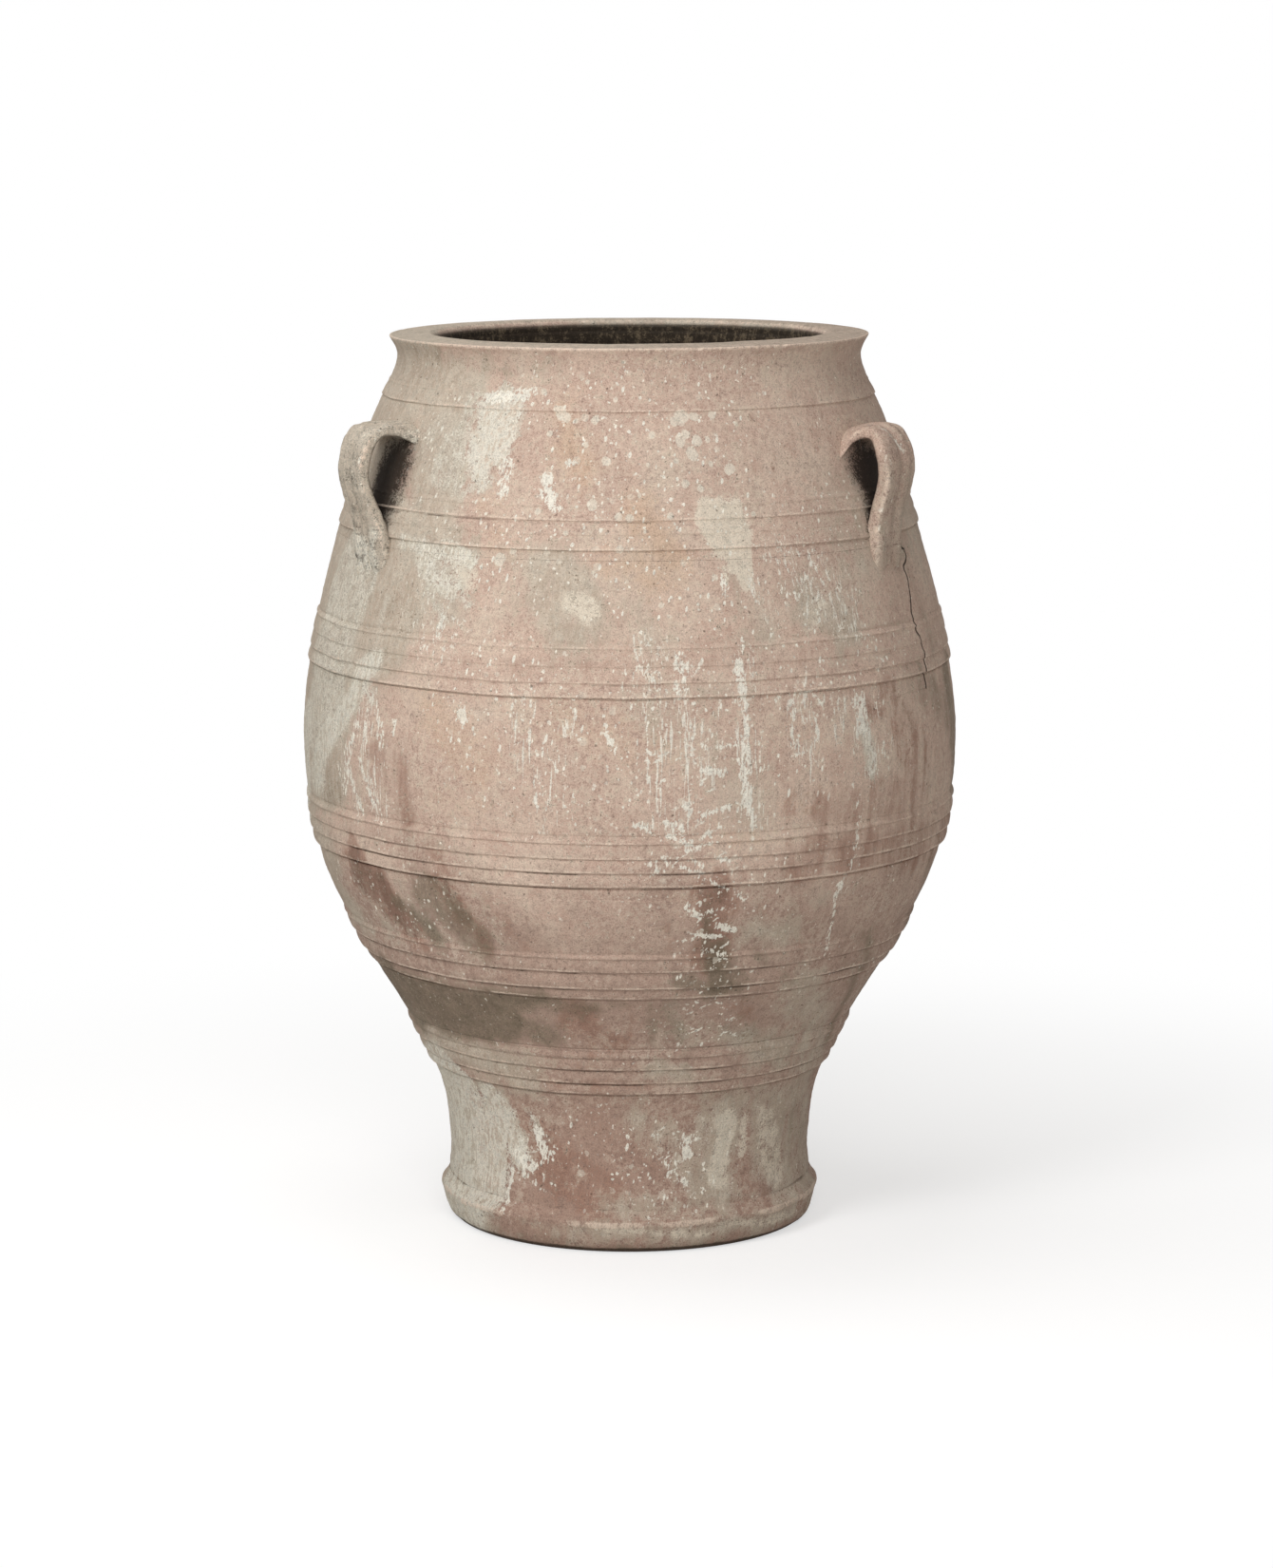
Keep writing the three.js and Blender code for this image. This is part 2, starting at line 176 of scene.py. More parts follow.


# Stains, placed as strokes: turn and height at both ends, half width and strength. A turn is
# in degrees from the front, to the right; the rest is in millimetres.
# White lime; the narrow strokes are drops and drips
LIME = (
    (-27.2, 896, -27.6, 846, 14, 1), (-31, 893, -32, 838, 25, 0.82), (-37, 890, -40, 828, 30, 0.56),
    (-25, 842, -26.5, 812, 8, 0.62), (-31, 832, -36, 810, 14, 0.6), (-34, 905, -24.5, 907, 5, 0.95),
    (-28, 913, -22, 912, 3.5, 0.75), (-44, 880, -50, 850, 24, 0.5), (-16.4, 828, -15.4, 803, 6, 0.95),
    (-13, 841, -11.2, 843, 3.5, 0.8), (-17.4, 812, -14, 800, 5, 0.8), (-49, 752, -37, 744, 17, 0.68),
    (-44, 735, -34, 716, 19, 0.66), (-37, 752, -31.5, 742, 12, 0.9), (-33, 722, -30, 700, 9, 0.7),
    (-40, 712, -34, 684, 12, 0.62), (-35, 690, -36, 670, 5, 0.6), (-55, 758, -56, 700, 9, 0.8),
    (-57, 700, -58, 620, 16, 0.6), (-50, 700, -52, 640, 14, 0.52), (-64, 720, -70, 560, 56, 0.6),
    (-51, 630, -60, 566, 20, 0.8), (-56, 606, -50, 596, 9, 0.8), (-62, 560, -72, 500, 26, 0.75),
    (-80, 540, -84, 470, 40, 0.7), (-54, 566, -58, 500, 6, 0.66), (-48.5, 592, -47, 546, 2.2, 0.95),
    (-46.8, 575, -46.2, 548, 1.5, 0.85), (-44, 575, -44, 562, 3, 0.85), (-51.5, 585, -51, 550, 2.4, 0.8),
    (-52.5, 530, -49, 486, 3, 0.8), (-57, 525, -53, 478, 4, 0.75), (-50, 515, -48, 490, 2, 0.8),
    (-60, 520, -58, 492, 4, 0.7), (-29.6, 592, -29.4, 588, 6.5, 0.9), (-16, 528, -15.2, 500, 2.2, 0.9),
    (-4.1, 594, -3.8, 577, 2, 1), (-3.8, 577, -2.4, 560, 2.6, 1), (-9, 600, -8.4, 590, 2, 0.8),
    (-12, 560, -11.4, 548, 1.2, 0.8), (-18.8, 575, -18.4, 566, 1.4, 0.8), (3, 592, 3.1, 528, 1, 1),
    (1.2, 580, 1.3, 548, 0.9, 0.95), (5.2, 560, 5.3, 520, 1, 0.9), (7.8, 658, 8.3, 648, 3, 1),
    (8.3, 648, 10, 644, 3.6, 1), (9, 643, 9.3, 628, 2, 0.95), (57.5, 866, 60.5, 846, 2.4, 0.8),
    (4.6, 642, 4, 630, 1.6, 0.95), (8.2, 627, 8.6, 612, 2.6, 0.9), (18.7, 645, 19, 630, 5, 0.95),
    (19.3, 628, 19.6, 609, 4.6, 0.9), (19.9, 606, 20, 570, 2.6, 0.9), (19.4, 566, 19.8, 550, 5, 0.72),
    (19.2, 546, 20, 500, 8, 0.68), (20.4, 502, 21.2, 480, 3.4, 0.95), (21.8, 480, 23, 474, 2, 0.8),
    (11.8, 567, 13, 562, 2.2, 0.95), (13, 563, 18, 564, 2, 0.9), (12.3, 541, 15.4, 539, 5, 0.8),
    (12.2, 495, 16.6, 502, 3, 1), (9.3, 508, 10.2, 496, 3.4, 0.9), (1, 489, 3.2, 484, 5, 0.7),
    (6, 489, 9.4, 480, 3, 0.9), (6.4, 476, 9.8, 465, 3, 0.9), (12.8, 473, 15.6, 483, 2.6, 1),
    (9.6, 457, 14, 465, 2.6, 0.85), (3.6, 444, 4.8, 436, 3.4, 0.9), (9, 440, 12.6, 433, 2.4, 0.9),
    (14.5, 449, 17, 446, 3, 0.8), (5.4, 452, 6.6, 443, 3, 0.8), (11, 447, 12.4, 440, 2.4, 0.8),
    (12, 430, 15, 421, 1.8, 0.9), (15, 421, 17.5, 412, 1.6, 0.9), (18, 416, 20.5, 402, 1.8, 0.7),
    (10, 396, 12.5, 385, 4.4, 0.8), (14, 390, 17, 393, 2.4, 0.8), (11.6, 366, 16, 363, 3.4, 0.9),
    (16.5, 374, 19.4, 369, 4, 0.95), (9.6, 358, 12, 362, 2.4, 0.8), (14, 348, 18, 342, 3.4, 0.7),
    (28.4, 604, 28.8, 590, 3.4, 0.9), (28.7, 588, 28.2, 562, 2.2, 0.85), (29.6, 570, 28.4, 556, 1.4, 0.8),
    (33.2, 608, 34.8, 598, 1.8, 0.95), (33, 586, 33.6, 566, 2, 0.95), (33.6, 566, 31, 553, 1.4, 0.9),
    (31, 553, 28.2, 550, 1.2, 0.9), (25.5, 609, 33, 613, 1.4, 0.85), (35, 600, 36, 580, 1, 0.8),
    (37, 602, 37.2, 590, 1.4, 0.9), (38.4, 603, 38.4, 588, 1.6, 0.95), (39.8, 602, 39.8, 586, 1.4, 0.9),
    (41.5, 603, 41.6, 592, 1.4, 0.9), (42.2, 622, 42, 552, 1.2, 0.95), (43.7, 598, 43.7, 570, 7, 0.8),
    (44, 575, 45.2, 523, 11, 0.78), (41.2, 550, 41, 510, 1, 0.9), (46.4, 540, 46.8, 518, 3, 0.9),
    (48.6, 550, 48.8, 534, 3, 0.8), (50, 560, 50, 520, 1.4, 0.8), (22, 640, 21.6, 600, 1, 0.7),
    (42.5, 502, 42.5, 470, 1.3, 0.9), (42.5, 464, 42.4, 456, 3, 0.95), (42.3, 450, 42, 428, 1.6, 0.95),
    (42, 428, 40.8, 406, 1.5, 0.95), (40.5, 408, 40.2, 396, 4.6, 0.9), (40.2, 390, 41.2, 365, 2.2, 0.95),
    (41.2, 360, 42.2, 334, 2, 0.95), (42.4, 332, 42.2, 326, 2.2, 0.8), (43.4, 480, 43.2, 474, 1.6, 0.8),
    (17.4, 730, 17.7, 714, 3, 0.85), (18.3, 712, 19, 702, 1.5, 0.8), (22.2, 724, 23.7, 705, 1.4, 0.9),
    (28.2, 722, 30.2, 711, 1.8, 0.9), (24, 762, 25.6, 758, 2, 0.7), (33.4, 724, 34.6, 716, 1.4, 0.8),
    (-31, 146, -28.5, 126, 9, 0.72), (-29, 130, -26, 104, 8, 0.74), (-42, 150, -36, 100, 19, 0.85),
    (-47, 150, -47, 44, 24, 0.95), (-68, 152, -66, 44, 62, 0.82), (-37, 100, -31, 90, 8, 0.78),
    (-36, 88, -34, 78, 5, 0.7), (-39.5, 84, -41, 36, 4, 0.8), (-31, 70, -27, 62, 4, 0.6),
    (17.2, 118, 18.6, 104, 6, 0.86), (19.6, 124, 21.4, 122, 3.4, 0.8), (8, 126, 8.6, 121, 3.4, 0.7),
    (11, 98, 15.5, 82, 2, 0.85), (16.5, 77, 18.6, 72, 3.6, 0.85), (-1, 128, 0.5, 124, 3, 0.6),
    (13, 108, 15, 94, 3, 0.7), (-58, 30, -47, 28, 9, 0.7), (150, 720, 160, 640, 80, 0.5),
    (154, 700, 158, 620, 24, 0.62), (-140, 640, -150, 500, 110, 0.47), (-146, 600, -150, 520, 30, 0.62),
    (-134, 560, -136, 470, 14, 0.66), (112, 540, 108, 420, 60, 0.42), (110, 520, 109, 470, 14, 0.66),
    (-168, 900, -172, 850, 44, 0.55), (170, 130, 176, 60, 90, 0.5), (174, 120, 178, 80, 24, 0.64),
    # The last two strokes lighten the foot's right side: lime, and painted light
    (-110, 130, -118, 50, 60, 0.5), (30, 146, 30, 72, 14, 0.5), (38, 140, 38, 92, 10, 0.44),
)
# Beige wash that ran down over the ridges
WASH = (
    (19, 794, 19, 774, 25, 0.95), (20.5, 776, 21.2, 744, 18, 1), (21, 748, 21.6, 724, 10, 1),
    (18, 738, 18, 724, 3, 0.9), (33, 672, 38, 700, 12, 0.5), (-11, 705, -7, 694, 16, 0.55),
    # The strokes at turns 30 to 52 near the foot lighten its right side: wash, and painted light
    (-33, 738, -31, 726, 16, 0.6), (31, 142, 30, 76, 13, 0.75), (37, 142, 38, 98, 7, 0.7),
    (48, 130, 52, 70, 22, 0.5), (-8, 27, 26, 20, 7, 0.55), (30, 27, 60, 18, 9, 0.55),
    # Round the sides and the back
    (160, 800, 164, 730, 40, 0.5), (-130, 420, -126, 380, 30, 0.5),
)
# Thin grey film
FILM = (
    (-75, 915, -78, 800, 110, 1), (-46, 900, -44, 800, 46, 0.85), (-20, 935, -55, 932, 26, 0.5),
    (-62, 780, -40, 764, 34, 0.9), (-46, 740, -50, 660, 60, 0.85), (-34, 744, -34, 700, 30, 0.7),
    (-70, 720, -74, 560, 110, 1), (-62, 600, -78, 470, 50, 0.8), (-13, 720, -9, 690, 44, 0.75),
    (-18, 742, -17, 700, 30, 0.5), (2, 705, 4, 668, 26, 0.5), (20, 720, 24, 676, 30, 0.5),
    (34, 706, 42, 676, 34, 0.75), (42, 740, 46, 700, 26, 0.5), (10, 620, 21, 616, 7, 0.8),
    (12, 660, 30, 664, 4, 0.6), (50, 780, 84, 770, 60, 0.5), (60, 930, 84, 860, 60, 0.3),
    (4, 600, 22, 500, 40, 0.45), (42, 590, 46, 520, 24, 0.4), (-84, 430, -70, 424, 30, 0.8),
    (-78, 402, -69, 352, 30, 0.85), (-46, 405, -40, 346, 7, 0.85), (-28, 405, -24.5, 346, 8, 0.6),
    (-52, 340, -84, 330, 14, 0.6), (2, 400, 3.4, 344, 6, 0.5), (23, 366, 31, 358, 20, 0.8),
    (36, 392, 44, 398, 8, 0.7), (22, 330, 40, 326, 10, 0.5), (10, 280, 16, 232, 14, 0.6),
    (40, 290, 60, 200, 34, 0.65), (26, 238, 44, 208, 26, 0.75), (6, 206, 14, 198, 9, 1),
    (-70, 224, -30, 190, 26, 0.8), (-56, 168, -36, 166, 9, 0.8), (-26, 206, -6, 216, 8, 0.4),
    (-75, 170, -72, 20, 60, 0.8), (0, 148, 14, 108, 24, 0.6), (31, 150, 30, 62, 24, 0.95),
    (40, 168, 60, 160, 12, 0.6), (46, 140, 48, 70, 18, 0.7), (60, 140, 74, 60, 50, 0.65),
    (-8, 52, 30, 50, 16, 0.7), (20, 96, 24, 60, 24, 0.7), (24, 150, 30, 50, 34, 0.6),
    (50, 140, 56, 50, 44, 0.7), (-16, 24, 60, 22, 16, 0.85), (-70, 22, -50, 18, 22, 0.8),
    (-34, 24, -12, 16, 10, 0.6), (-6, 26, 26, 14, 10, 0.75), (30, 26, 62, 18, 12, 0.75),
    (-30, 462, 6, 461, 6, 0.4), (-60, 455, -20, 447, 10, 0.45),
    # Round the sides and the back
    (160, 860, 150, 780, 190, 0.9), (-150, 760, -140, 560, 190, 0.9), (130, 170, 170, 60, 130, 0.8),
    (-130, 170, -120, 60, 110, 0.9), (100, 390, 110, 330, 90, 0.5), (120, 660, 140, 600, 120, 0.6),
    (180, 460, -170, 420, 110, 0.6),
)
# Olive soot
# The strokes at turns 72 to 84 darken the far right edge: soot, and painted shade
SOOT = (
    (-58, 408, -50, 356, 13, 0.55), (-46, 386, -41, 348, 16, 0.85), (-38, 398, -30, 350, 26, 0.7),
    (-43, 400, -40, 368, 7, 0.6), (-36, 392, -31, 346, 10, 0.45), (-62, 414, -48, 408, 4, 0.6),
    (14, 398, 13.5, 336, 12, 0.75), (16, 345, 19, 296, 18, 1), (18, 380, 17.6, 340, 10, 0.5),
    (2, 392, 3.2, 344, 5, 0.4), (5.4, 372, 6.4, 350, 4, 0.5), (-88, 288, -20, 282, 14, 1),
    (-86, 272, -30, 262, 34, 0.95), (-80, 244, -40, 240, 24, 0.9), (-28, 262, -20, 240, 24, 0.75),
    (-24, 282, -8, 272, 14, 0.75), (-12, 286, 30, 286, 5, 0.6), (4.6, 284, 5.6, 246, 9, 0.72),
    (8, 284, 12, 246, 20, 0.5), (5.6, 268, 6, 252, 7, 0.85), (18, 300, 24, 296, 9, 0.8),
    (9, 314, 17, 306, 11, 0.85), (22, 316, 24, 300, 9, 0.75), (24, 340, 27, 326, 8, 0.72),
    (34, 306, 37, 300, 8, 0.6), (54, 340, 60, 290, 13, 0.72), (60, 290, 66, 212, 14, 0.72),
    (50, 318, 54, 300, 8, 0.6), (76, 330, 80, 240, 22, 0.6), (46, 236, 56, 232, 4, 0.6),
    (30, 232, 44, 236, 6, 0.4), (8, 222, 18, 222, 8, 0.45), (15, 194, 22, 186, 12, 0.4),
    (20, 260, 32, 240, 18, 0.45), (-62, 500, -66, 478, 18, 0.5), (-57, 512, -52, 478, 14, 0.4),
    (-66, 520, -58, 505, 10, 0.35), (-48, 690, -40, 680, 14, 0.4), (-46, 668, -38, 664, 7, 0.5),
    (-62, 652, -40, 640, 6, 0.4), (-62, 666, -52, 663, 4, 0.5), (-68, 700, -60, 694, 9, 0.4),
    (66, 750, 70, 640, 20, 0.42), (60, 612, 74, 560, 28, 0.5), (54, 600, 57, 560, 9, 0.45),
    (54, 690, 57, 700, 16, 0.36), (44, 668.5, 62, 670, 1.8, 0.7), (24, 668.5, 38, 669, 1.2, 0.55),
    (-66, 946, -44, 938, 9, 0.5), (-44, 936, -30, 929, 9, 0.45), (-80, 930, -66, 926, 12, 0.35),
    # The stroke at height 5 from turn -84 to 84 is a painted shadow along the ground, with soot
    (-16, 470, 12, 469, 3, 0.4), (-24, 470, -10, 472, 3, 0.5), (-84, 5, 84, 5, 4, 0.75),
    (24, 10, 70, 12, 10, 0.45), (-46, 13, -20, 9, 7, 0.55), (60, 130, 70, 100, 20, 0.4),
    (78, 600, 84, 480, 30, 0.75), (72, 420, 80, 350, 24, 0.45), (-16, 926, 10, 928, 7, 0.35),
    (-12, 902, 12, 896, 5, 0.3),
    # Round the sides and the back
    (120, 288, 170, 274, 34, 0.6), (-100, 285, -160, 278, 32, 0.6), (130, 300, 160, 290, 12, 0.9),
    (-110, 296, -150, 290, 12, 0.9), (100, 240, 140, 236, 24, 0.7), (176, 400, 176, 340, 30, 0.7),
    (-120, 404, -118, 350, 24, 0.8), (140, 480, 144, 440, 30, 0.4),
)
# Bare red-brown clay
RED = (
    # The first two strokes, a thin line under the lip, are red clay and painted shade
    (-62, 951, -12, 952, 1.6, 0.8), (14, 952, 52, 951, 1.6, 0.6), (-57, 408, -50, 374, 28, 1.5),
    (-51, 404, -47, 352, 20, 1.3), (-35, 412, -32, 376, 14, 1.1), (-31, 380, -28.5, 346, 12, 1),
    (-57, 446, -54, 430, 8, 0.8), (-36, 450, -33, 426, 12, 0.7), (-26, 400, -20, 350, 14, 0.5),
    (14.5, 404, 15, 338, 24, 1), (6.8, 376, 7.4, 350, 5, 0.8), (24, 400, 36, 350, 20, 0.4),
    (-13, 268, -4, 236, 22, 0.75), (-30, 340, -24, 300, 10, 0.5), (0.5, 284, 0, 236, 8, 0.6),
    (-32, 120, -12, 66, 36, 0.7), (-8, 160, 14, 92, 34, 0.45), (-30, 60, -20, 50, 16, 0.4),
    (22, 160, 28, 110, 20, 0.4), (-26, 200, -20, 184, 6, 0.9), (-12, 186, 10, 183, 7, 0.7),
    (-10, 222, 4, 208, 8, 0.6), (-26, 208, 0, 210, 8, 0.5), (26, 226, 34, 208, 8, 0.4),
    (-36, 22, -20, 16, 10, 0.6), (30, 440, 80, 430, 30, 0.55), (30, 500, 60, 480, 30, 0.45),
    (24, 276, 30, 262, 14, 0.5), (-24, 226, -10, 220, 10, 0.4), (52, 590, 62, 500, 34, 0.45),
    (44, 594, 48, 582, 9, 0.9), (-46, 540, -40, 480, 26, 0.5), (-30, 520, -20, 480, 20, 0.3),
    (-6, 646, 30, 640, 10, 0.4), (-20, 640, 20, 650, 12, 0.4), (58, 742, 62, 728, 13, 0.6),
    (28, 860, 50, 800, 40, 0.3),
    # Round the sides and the back
    (130, 400, 150, 350, 60, 0.4), (-150, 400, -140, 350, 60, 0.4), (160, 160, -160, 110, 60, 0.35),
)
# Warmer clay
OCHRE = (
    (-15, 890, -9, 838, 22, 0.9), (0, 832, 4, 812, 18, 0.5), (2, 796, 6, 752, 24, 0.9),
    (-4, 752, 8, 728, 20, 0.7), (-30, 800, -22, 748, 24, 0.5), (-36, 590, -26, 536, 34, 0.6),
    (-12, 590, 4, 560, 34, 0.5), (14, 480, 20, 462, 20, 0.5), (6, 410, 14, 402, 10, 0.7),
    (28, 590, 34, 560, 24, 0.4), (26, 505, 34, 495, 16, 0.5), (-34, 500, -26, 492, 16, 0.5),
)
# Painted shadow, with soot, on the wall behind each strap
STRAP_SHADOWS = (
    (61, 824, 59, 786, 28, 1), (-58.5, 834, -60, 784, 26, 1),
    # Round the sides and the back
    (178, 826, 180, 790, 28, 1),
)
# Where the clay is splashed all over
SPLASH = (
    (-6, 880, 14, 830, 50, 1), (-20, 900, 20, 890, 26, 0.85), (-24, 760, 20, 770, 50, 0.9),
    (0, 720, 14, 700, 50, 0.85), (26, 760, 46, 790, 40, 0.6), (-26, 600, 24, 560, 70, 0.6),
    (-20, 920, 30, 925, 16, 0.7), (-16, 110, 20, 90, 46, 0.8), (8, 500, 16, 470, 44, 0.8),
    (-24, 540, 20, 500, 60, 0.5), (20, 700, 46, 640, 60, 0.6), (4, 450, 20, 430, 34, 0.8),
    (12, 390, 20, 250, 30, 0.7), (-60, 390, -40, 370, 40, 0.5), (-50, 850, -30, 760, 60, 0.4),
    # Round the sides and the back
    (-168, 840, 170, 760, 90, 0.8), (100, 820, 120, 760, 60, 0.6),
)
# Where thin drips hang
DRIPS = (
    (4, 655, 6, 500, 26, 0.8), (9, 640, 9, 505, 16, 1), (19.5, 650, 20.5, 480, 14, 1),
    (13, 600, 14, 540, 22, 0.6), (-17, 600, -14, 480, 26, 0.6), (-9, 590, -9, 530, 18, 0.6),
    (30, 605, 31, 550, 22, 0.8), (38, 606, 39, 580, 16, 0.9), (44.5, 600, 45.5, 520, 14, 1),
    (49, 590, 50, 530, 12, 0.6), (-52, 590, -48, 480, 18, 1), (-58, 540, -54, 470, 14, 0.7),
    (33, 740, 42, 690, 34, 0.9), (22, 730, 26, 700, 16, 0.8), (-41, 740, -36, 650, 34, 0.6),
    (-30, 600, -26, 520, 20, 0.4),
    # Round the sides and the back
    (150, 620, 156, 500, 90, 0.8), (-120, 600, -118, 460, 70, 0.7),
)
# Where the flecks slant to both sides
FLECKS = (
    (6, 484, 16, 440, 24, 1), (5, 450, 15, 434, 12, 0.9), (13, 396, 17, 344, 18, 1),
    (15, 290, 24, 246, 24, 1), (22, 322, 28, 300, 12, 0.7), (14, 252, 20, 236, 10, 0.5),
    (-12, 800, 12, 720, 60, 0.4), (-16, 600, -8, 540, 34, 0.5), (4, 560, 16, 500, 36, 0.7),
    (10, 116, 20, 70, 20, 0.8), (-36, 110, -26, 60, 22, 0.8), (-30, 90, 6, 140, 24, 0.3),
    (-34, 700, -31, 674, 12, 0.9), (30, 604, 40, 560, 22, 0.6), (-9, 170, 10, 140, 20, 0.4),
    # Round the sides and the back
    (150, 480, 160, 400, 60, 0.7), (-110, 300, -130, 250, 50, 0.7),
)
# Cream dots: turn, height and radius
CREAM_DOTS = (
    (-15.5, 893, 8), (-14, 889, 6), (-16.6, 896, 4), (-7.4, 887, 5.5), (-10, 922, 3.5), (12.2, 885, 9),
    (14.8, 886, 6), (10.4, 881, 6), (11, 863, 6.5), (14.6, 863, 6), (13, 852, 7.5), (12.4, 869, 5),
    (17, 865, 4), (19, 889, 5), (-4.5, 845, 5.5), (-7.4, 804, 7), (21, 837, 7), (14.6, 819, 5),
    (11.4, 823, 5.5), (-2.2, 792, 5), (0.1, 791, 5), (8, 791, 4.5), (-24.6, 747, 8), (-22.2, 755, 4.5),
    (-2, 761, 5), (-29.6, 590, 6), (-11.6, 885, 3.5), (24, 880, 3), (-18, 795, 4), (-9, 861, 3.5),
    (5, 870, 4), (-20, 912, 4), (4, 842, 3), (9.6, 846, 3.5), (-13, 746, 3.5), (16, 730, 4), (6, 705, 3.5),
    (-6.6, 737, 3), (3, 777, 3), (25, 790, 3.5), (-17.5, 872, 4.5), (-3, 905, 3), (17, 843, 3.5),
    (2, 812, 3), (-12, 775, 3.5), (18, 782, 3),
)
# The crack at the right, from its upper end down: turn and height
CRACK = np.array([
    (62.6, 747), (63.6, 744), (66.4, 739), (66.9, 732), (66.0, 727), (64.3, 722), (64.8, 711), (64.4, 700),
    (63, 676), (63.3, 666), (62.7, 656), (63.9, 650), (64.6, 634), (63.8, 611), (64.2, 596),
])
# Distance to the crack, in millimetres, over which its painted value runs from end to end
CRACK_SPREAD = 60
# Lime strokes no wider than this are drops
DROP_SIZE = 8
# Kind of stain: its strokes and how softly their edges fall, in millimetres
STAINS = {
    "lime": ([stroke for stroke in LIME if stroke[4] > DROP_SIZE], 26),
    "drops": ([stroke for stroke in LIME if stroke[4] <= DROP_SIZE], 7),
    "film": (FILM, 40), "soot": (SOOT, 26), "red": (RED, 26), "ochre": (OCHRE, 40), "strap_shadow": (STRAP_SHADOWS, 34),
    "splash": (SPLASH, 60), "drips": (DRIPS, 30), "flecks": (FLECKS, 50), "wash": (WASH, 16),
    "cream": ([(turn, height, turn, height, radius * 0.85, 1.0) for turn, height, radius in CREAM_DOTS], 4),
}


def segment_gap(stroke, turn, height, radius):
    """Distance in millimetres, along the wall, to the line between a stroke's ends."""
    turn_a, high_a, turn_b, high_b = stroke[:4]
    across = ((turn - turn_a + 180) % 360 - 180) * np.pi / 180 * radius
    up = height - high_a
    run = ((turn_b - turn_a + 180) % 360 - 180) * np.pi / 180 * radius
    rise = high_b - high_a
    share = np.clip((across * run + up * rise) / np.maximum(run * run + rise * rise, 1e-6), 0, 1)
    return np.hypot(across - run * share, up - rise * share)


def stroke_field(strokes, soft, turn, height, warp):
    """0.5 at the edge of a stroke, its strength well inside, 0 outside; edges are ragged by the warp."""
    radius = wall_radius(height)
    reach = 90
    low, high = height.min() - reach, height.max() + reach
    field = np.zeros(len(turn))
    for stroke in strokes:
        if max(stroke[1], stroke[3]) < low or min(stroke[1], stroke[3]) > high:
            continue
        half, strength = stroke[4:]
        ragged = min(half * 0.5, 12)
        warped_turn = turn + warp[0] * ragged / radius * DEGREES_IN_RADIAN
        gap = segment_gap(stroke, warped_turn, height + warp[1] * ragged, radius)
        inside = 0.5 + (half - gap) / min(soft, soft / 2 + half)
        field = np.maximum(field, strength * np.clip(inside, 0, 1))
    return field


# Making meshes

def start_piece(name, add, **settings):
    """Adds a primitive with nothing else selected, and names it."""
    bpy.ops.object.select_all(action="DESELECT")
    add(**settings)
    piece = bpy.context.object
    piece.name = name
    piece.data.name = name
    return piece


def turned_piece(name, profile):
    """Draws a profile of (radius, height) by extruding one corner, and turns it round the jar's axis."""
    places = [Vector((0, -radius * MM, height * MM)) for radius, height in profile]
    piece = start_piece(name, bpy.ops.mesh.primitive_plane_add, size=1.0)
    bpy.ops.object.mode_set(mode="EDIT")
    bpy.ops.mesh.select_all(action="SELECT")
    bpy.ops.mesh.merge(type="CENTER")
    bpy.ops.transform.translate(value=places[0])
    for here, there in zip(places, places[1:]):
        bpy.ops.mesh.extrude_region_move(TRANSFORM_OT_translate={"value": there - here})
    bpy.ops.object.mode_set(mode="OBJECT")
    lathe = piece.modifiers.new("lathe", "SCREW")
    lathe.steps = TURN_STEPS
    lathe.render_steps = TURN_STEPS
    bpy.ops.object.modifier_apply(modifier=lathe.name)
    bpy.ops.object.mode_set(mode="EDIT")
    bpy.ops.mesh.select_all(action="SELECT")
    bpy.ops.mesh.remove_doubles(threshold=0.00001)
    bpy.ops.mesh.normals_make_consistent(inside=False)
    bpy.ops.object.mode_set(mode="OBJECT")
    crowd_forward(piece)
    return piece


def corners_of(piece):
    """Places of all corners of a piece, in millimetres."""
    corners = np.zeros(len(piece.data.vertices) * 3)
    piece.data.vertices.foreach_get("co", corners)
    return corners.reshape(-1, 3) / MM


def move_corners(piece, corners):
    """Puts the corners of a piece at new places, in millimetres."""
    piece.data.vertices.foreach_set("co", (corners * MM).ravel())
    piece.data.update()


def polar(corners):
    """Turn in degrees, radius and height of each corner."""
    turn = np.degrees(np.arctan2(corners[:, 0], -corners[:, 1]))
    return turn, np.hypot(corners[:, 0], corners[:, 1]), corners[:, 2]


def from_polar(turn, radius, height):
    """Corners from their turn in degrees, radius and height."""
    around = np.radians(turn)
    return np.stack([radius * np.sin(around), -radius * np.cos(around), height], axis=1)


def crowd_forward(piece):
    """Moves the corners of a turned piece closer together at the front, where most is seen."""
    turn, radius, height = polar(corners_of(piece))
    turn = turn - np.degrees(CROWDING * np.sin(np.radians(turn)))
    move_corners(piece, from_polar(turn, radius, height))


def circle_of(turn, radius, height):
    """Places on one circle, for noise that depends on the turn and little on the height."""
    return from_polar(turn, np.full(len(turn), float(radius)), np.asarray(height, float))


def paint(piece, name, values):
    """Gives each corner of a piece a painted value between 0 and 1."""
    layer = piece.data.attributes.new(name, "FLOAT", "POINT")
    layer.data.foreach_set("value", np.clip(values, 0, 1).astype(np.float32))


def thrown_wobble(corners):
    """How far the hand-thrown wall leans in or out, in millimetres."""
    return noise_sum(corners, (1.3, 260, 3), (0.6, 110, 4)) - 0.5


def waver(turn, height):
    """How far a line round the jar runs above or below its level."""
    slow = circle_of(turn, NOISE_RADIUS, height * 0.35)
    return noise_sum(slow, (0.9, 150, 71), (0.5, 46, 72), (0.25, 17, 73))


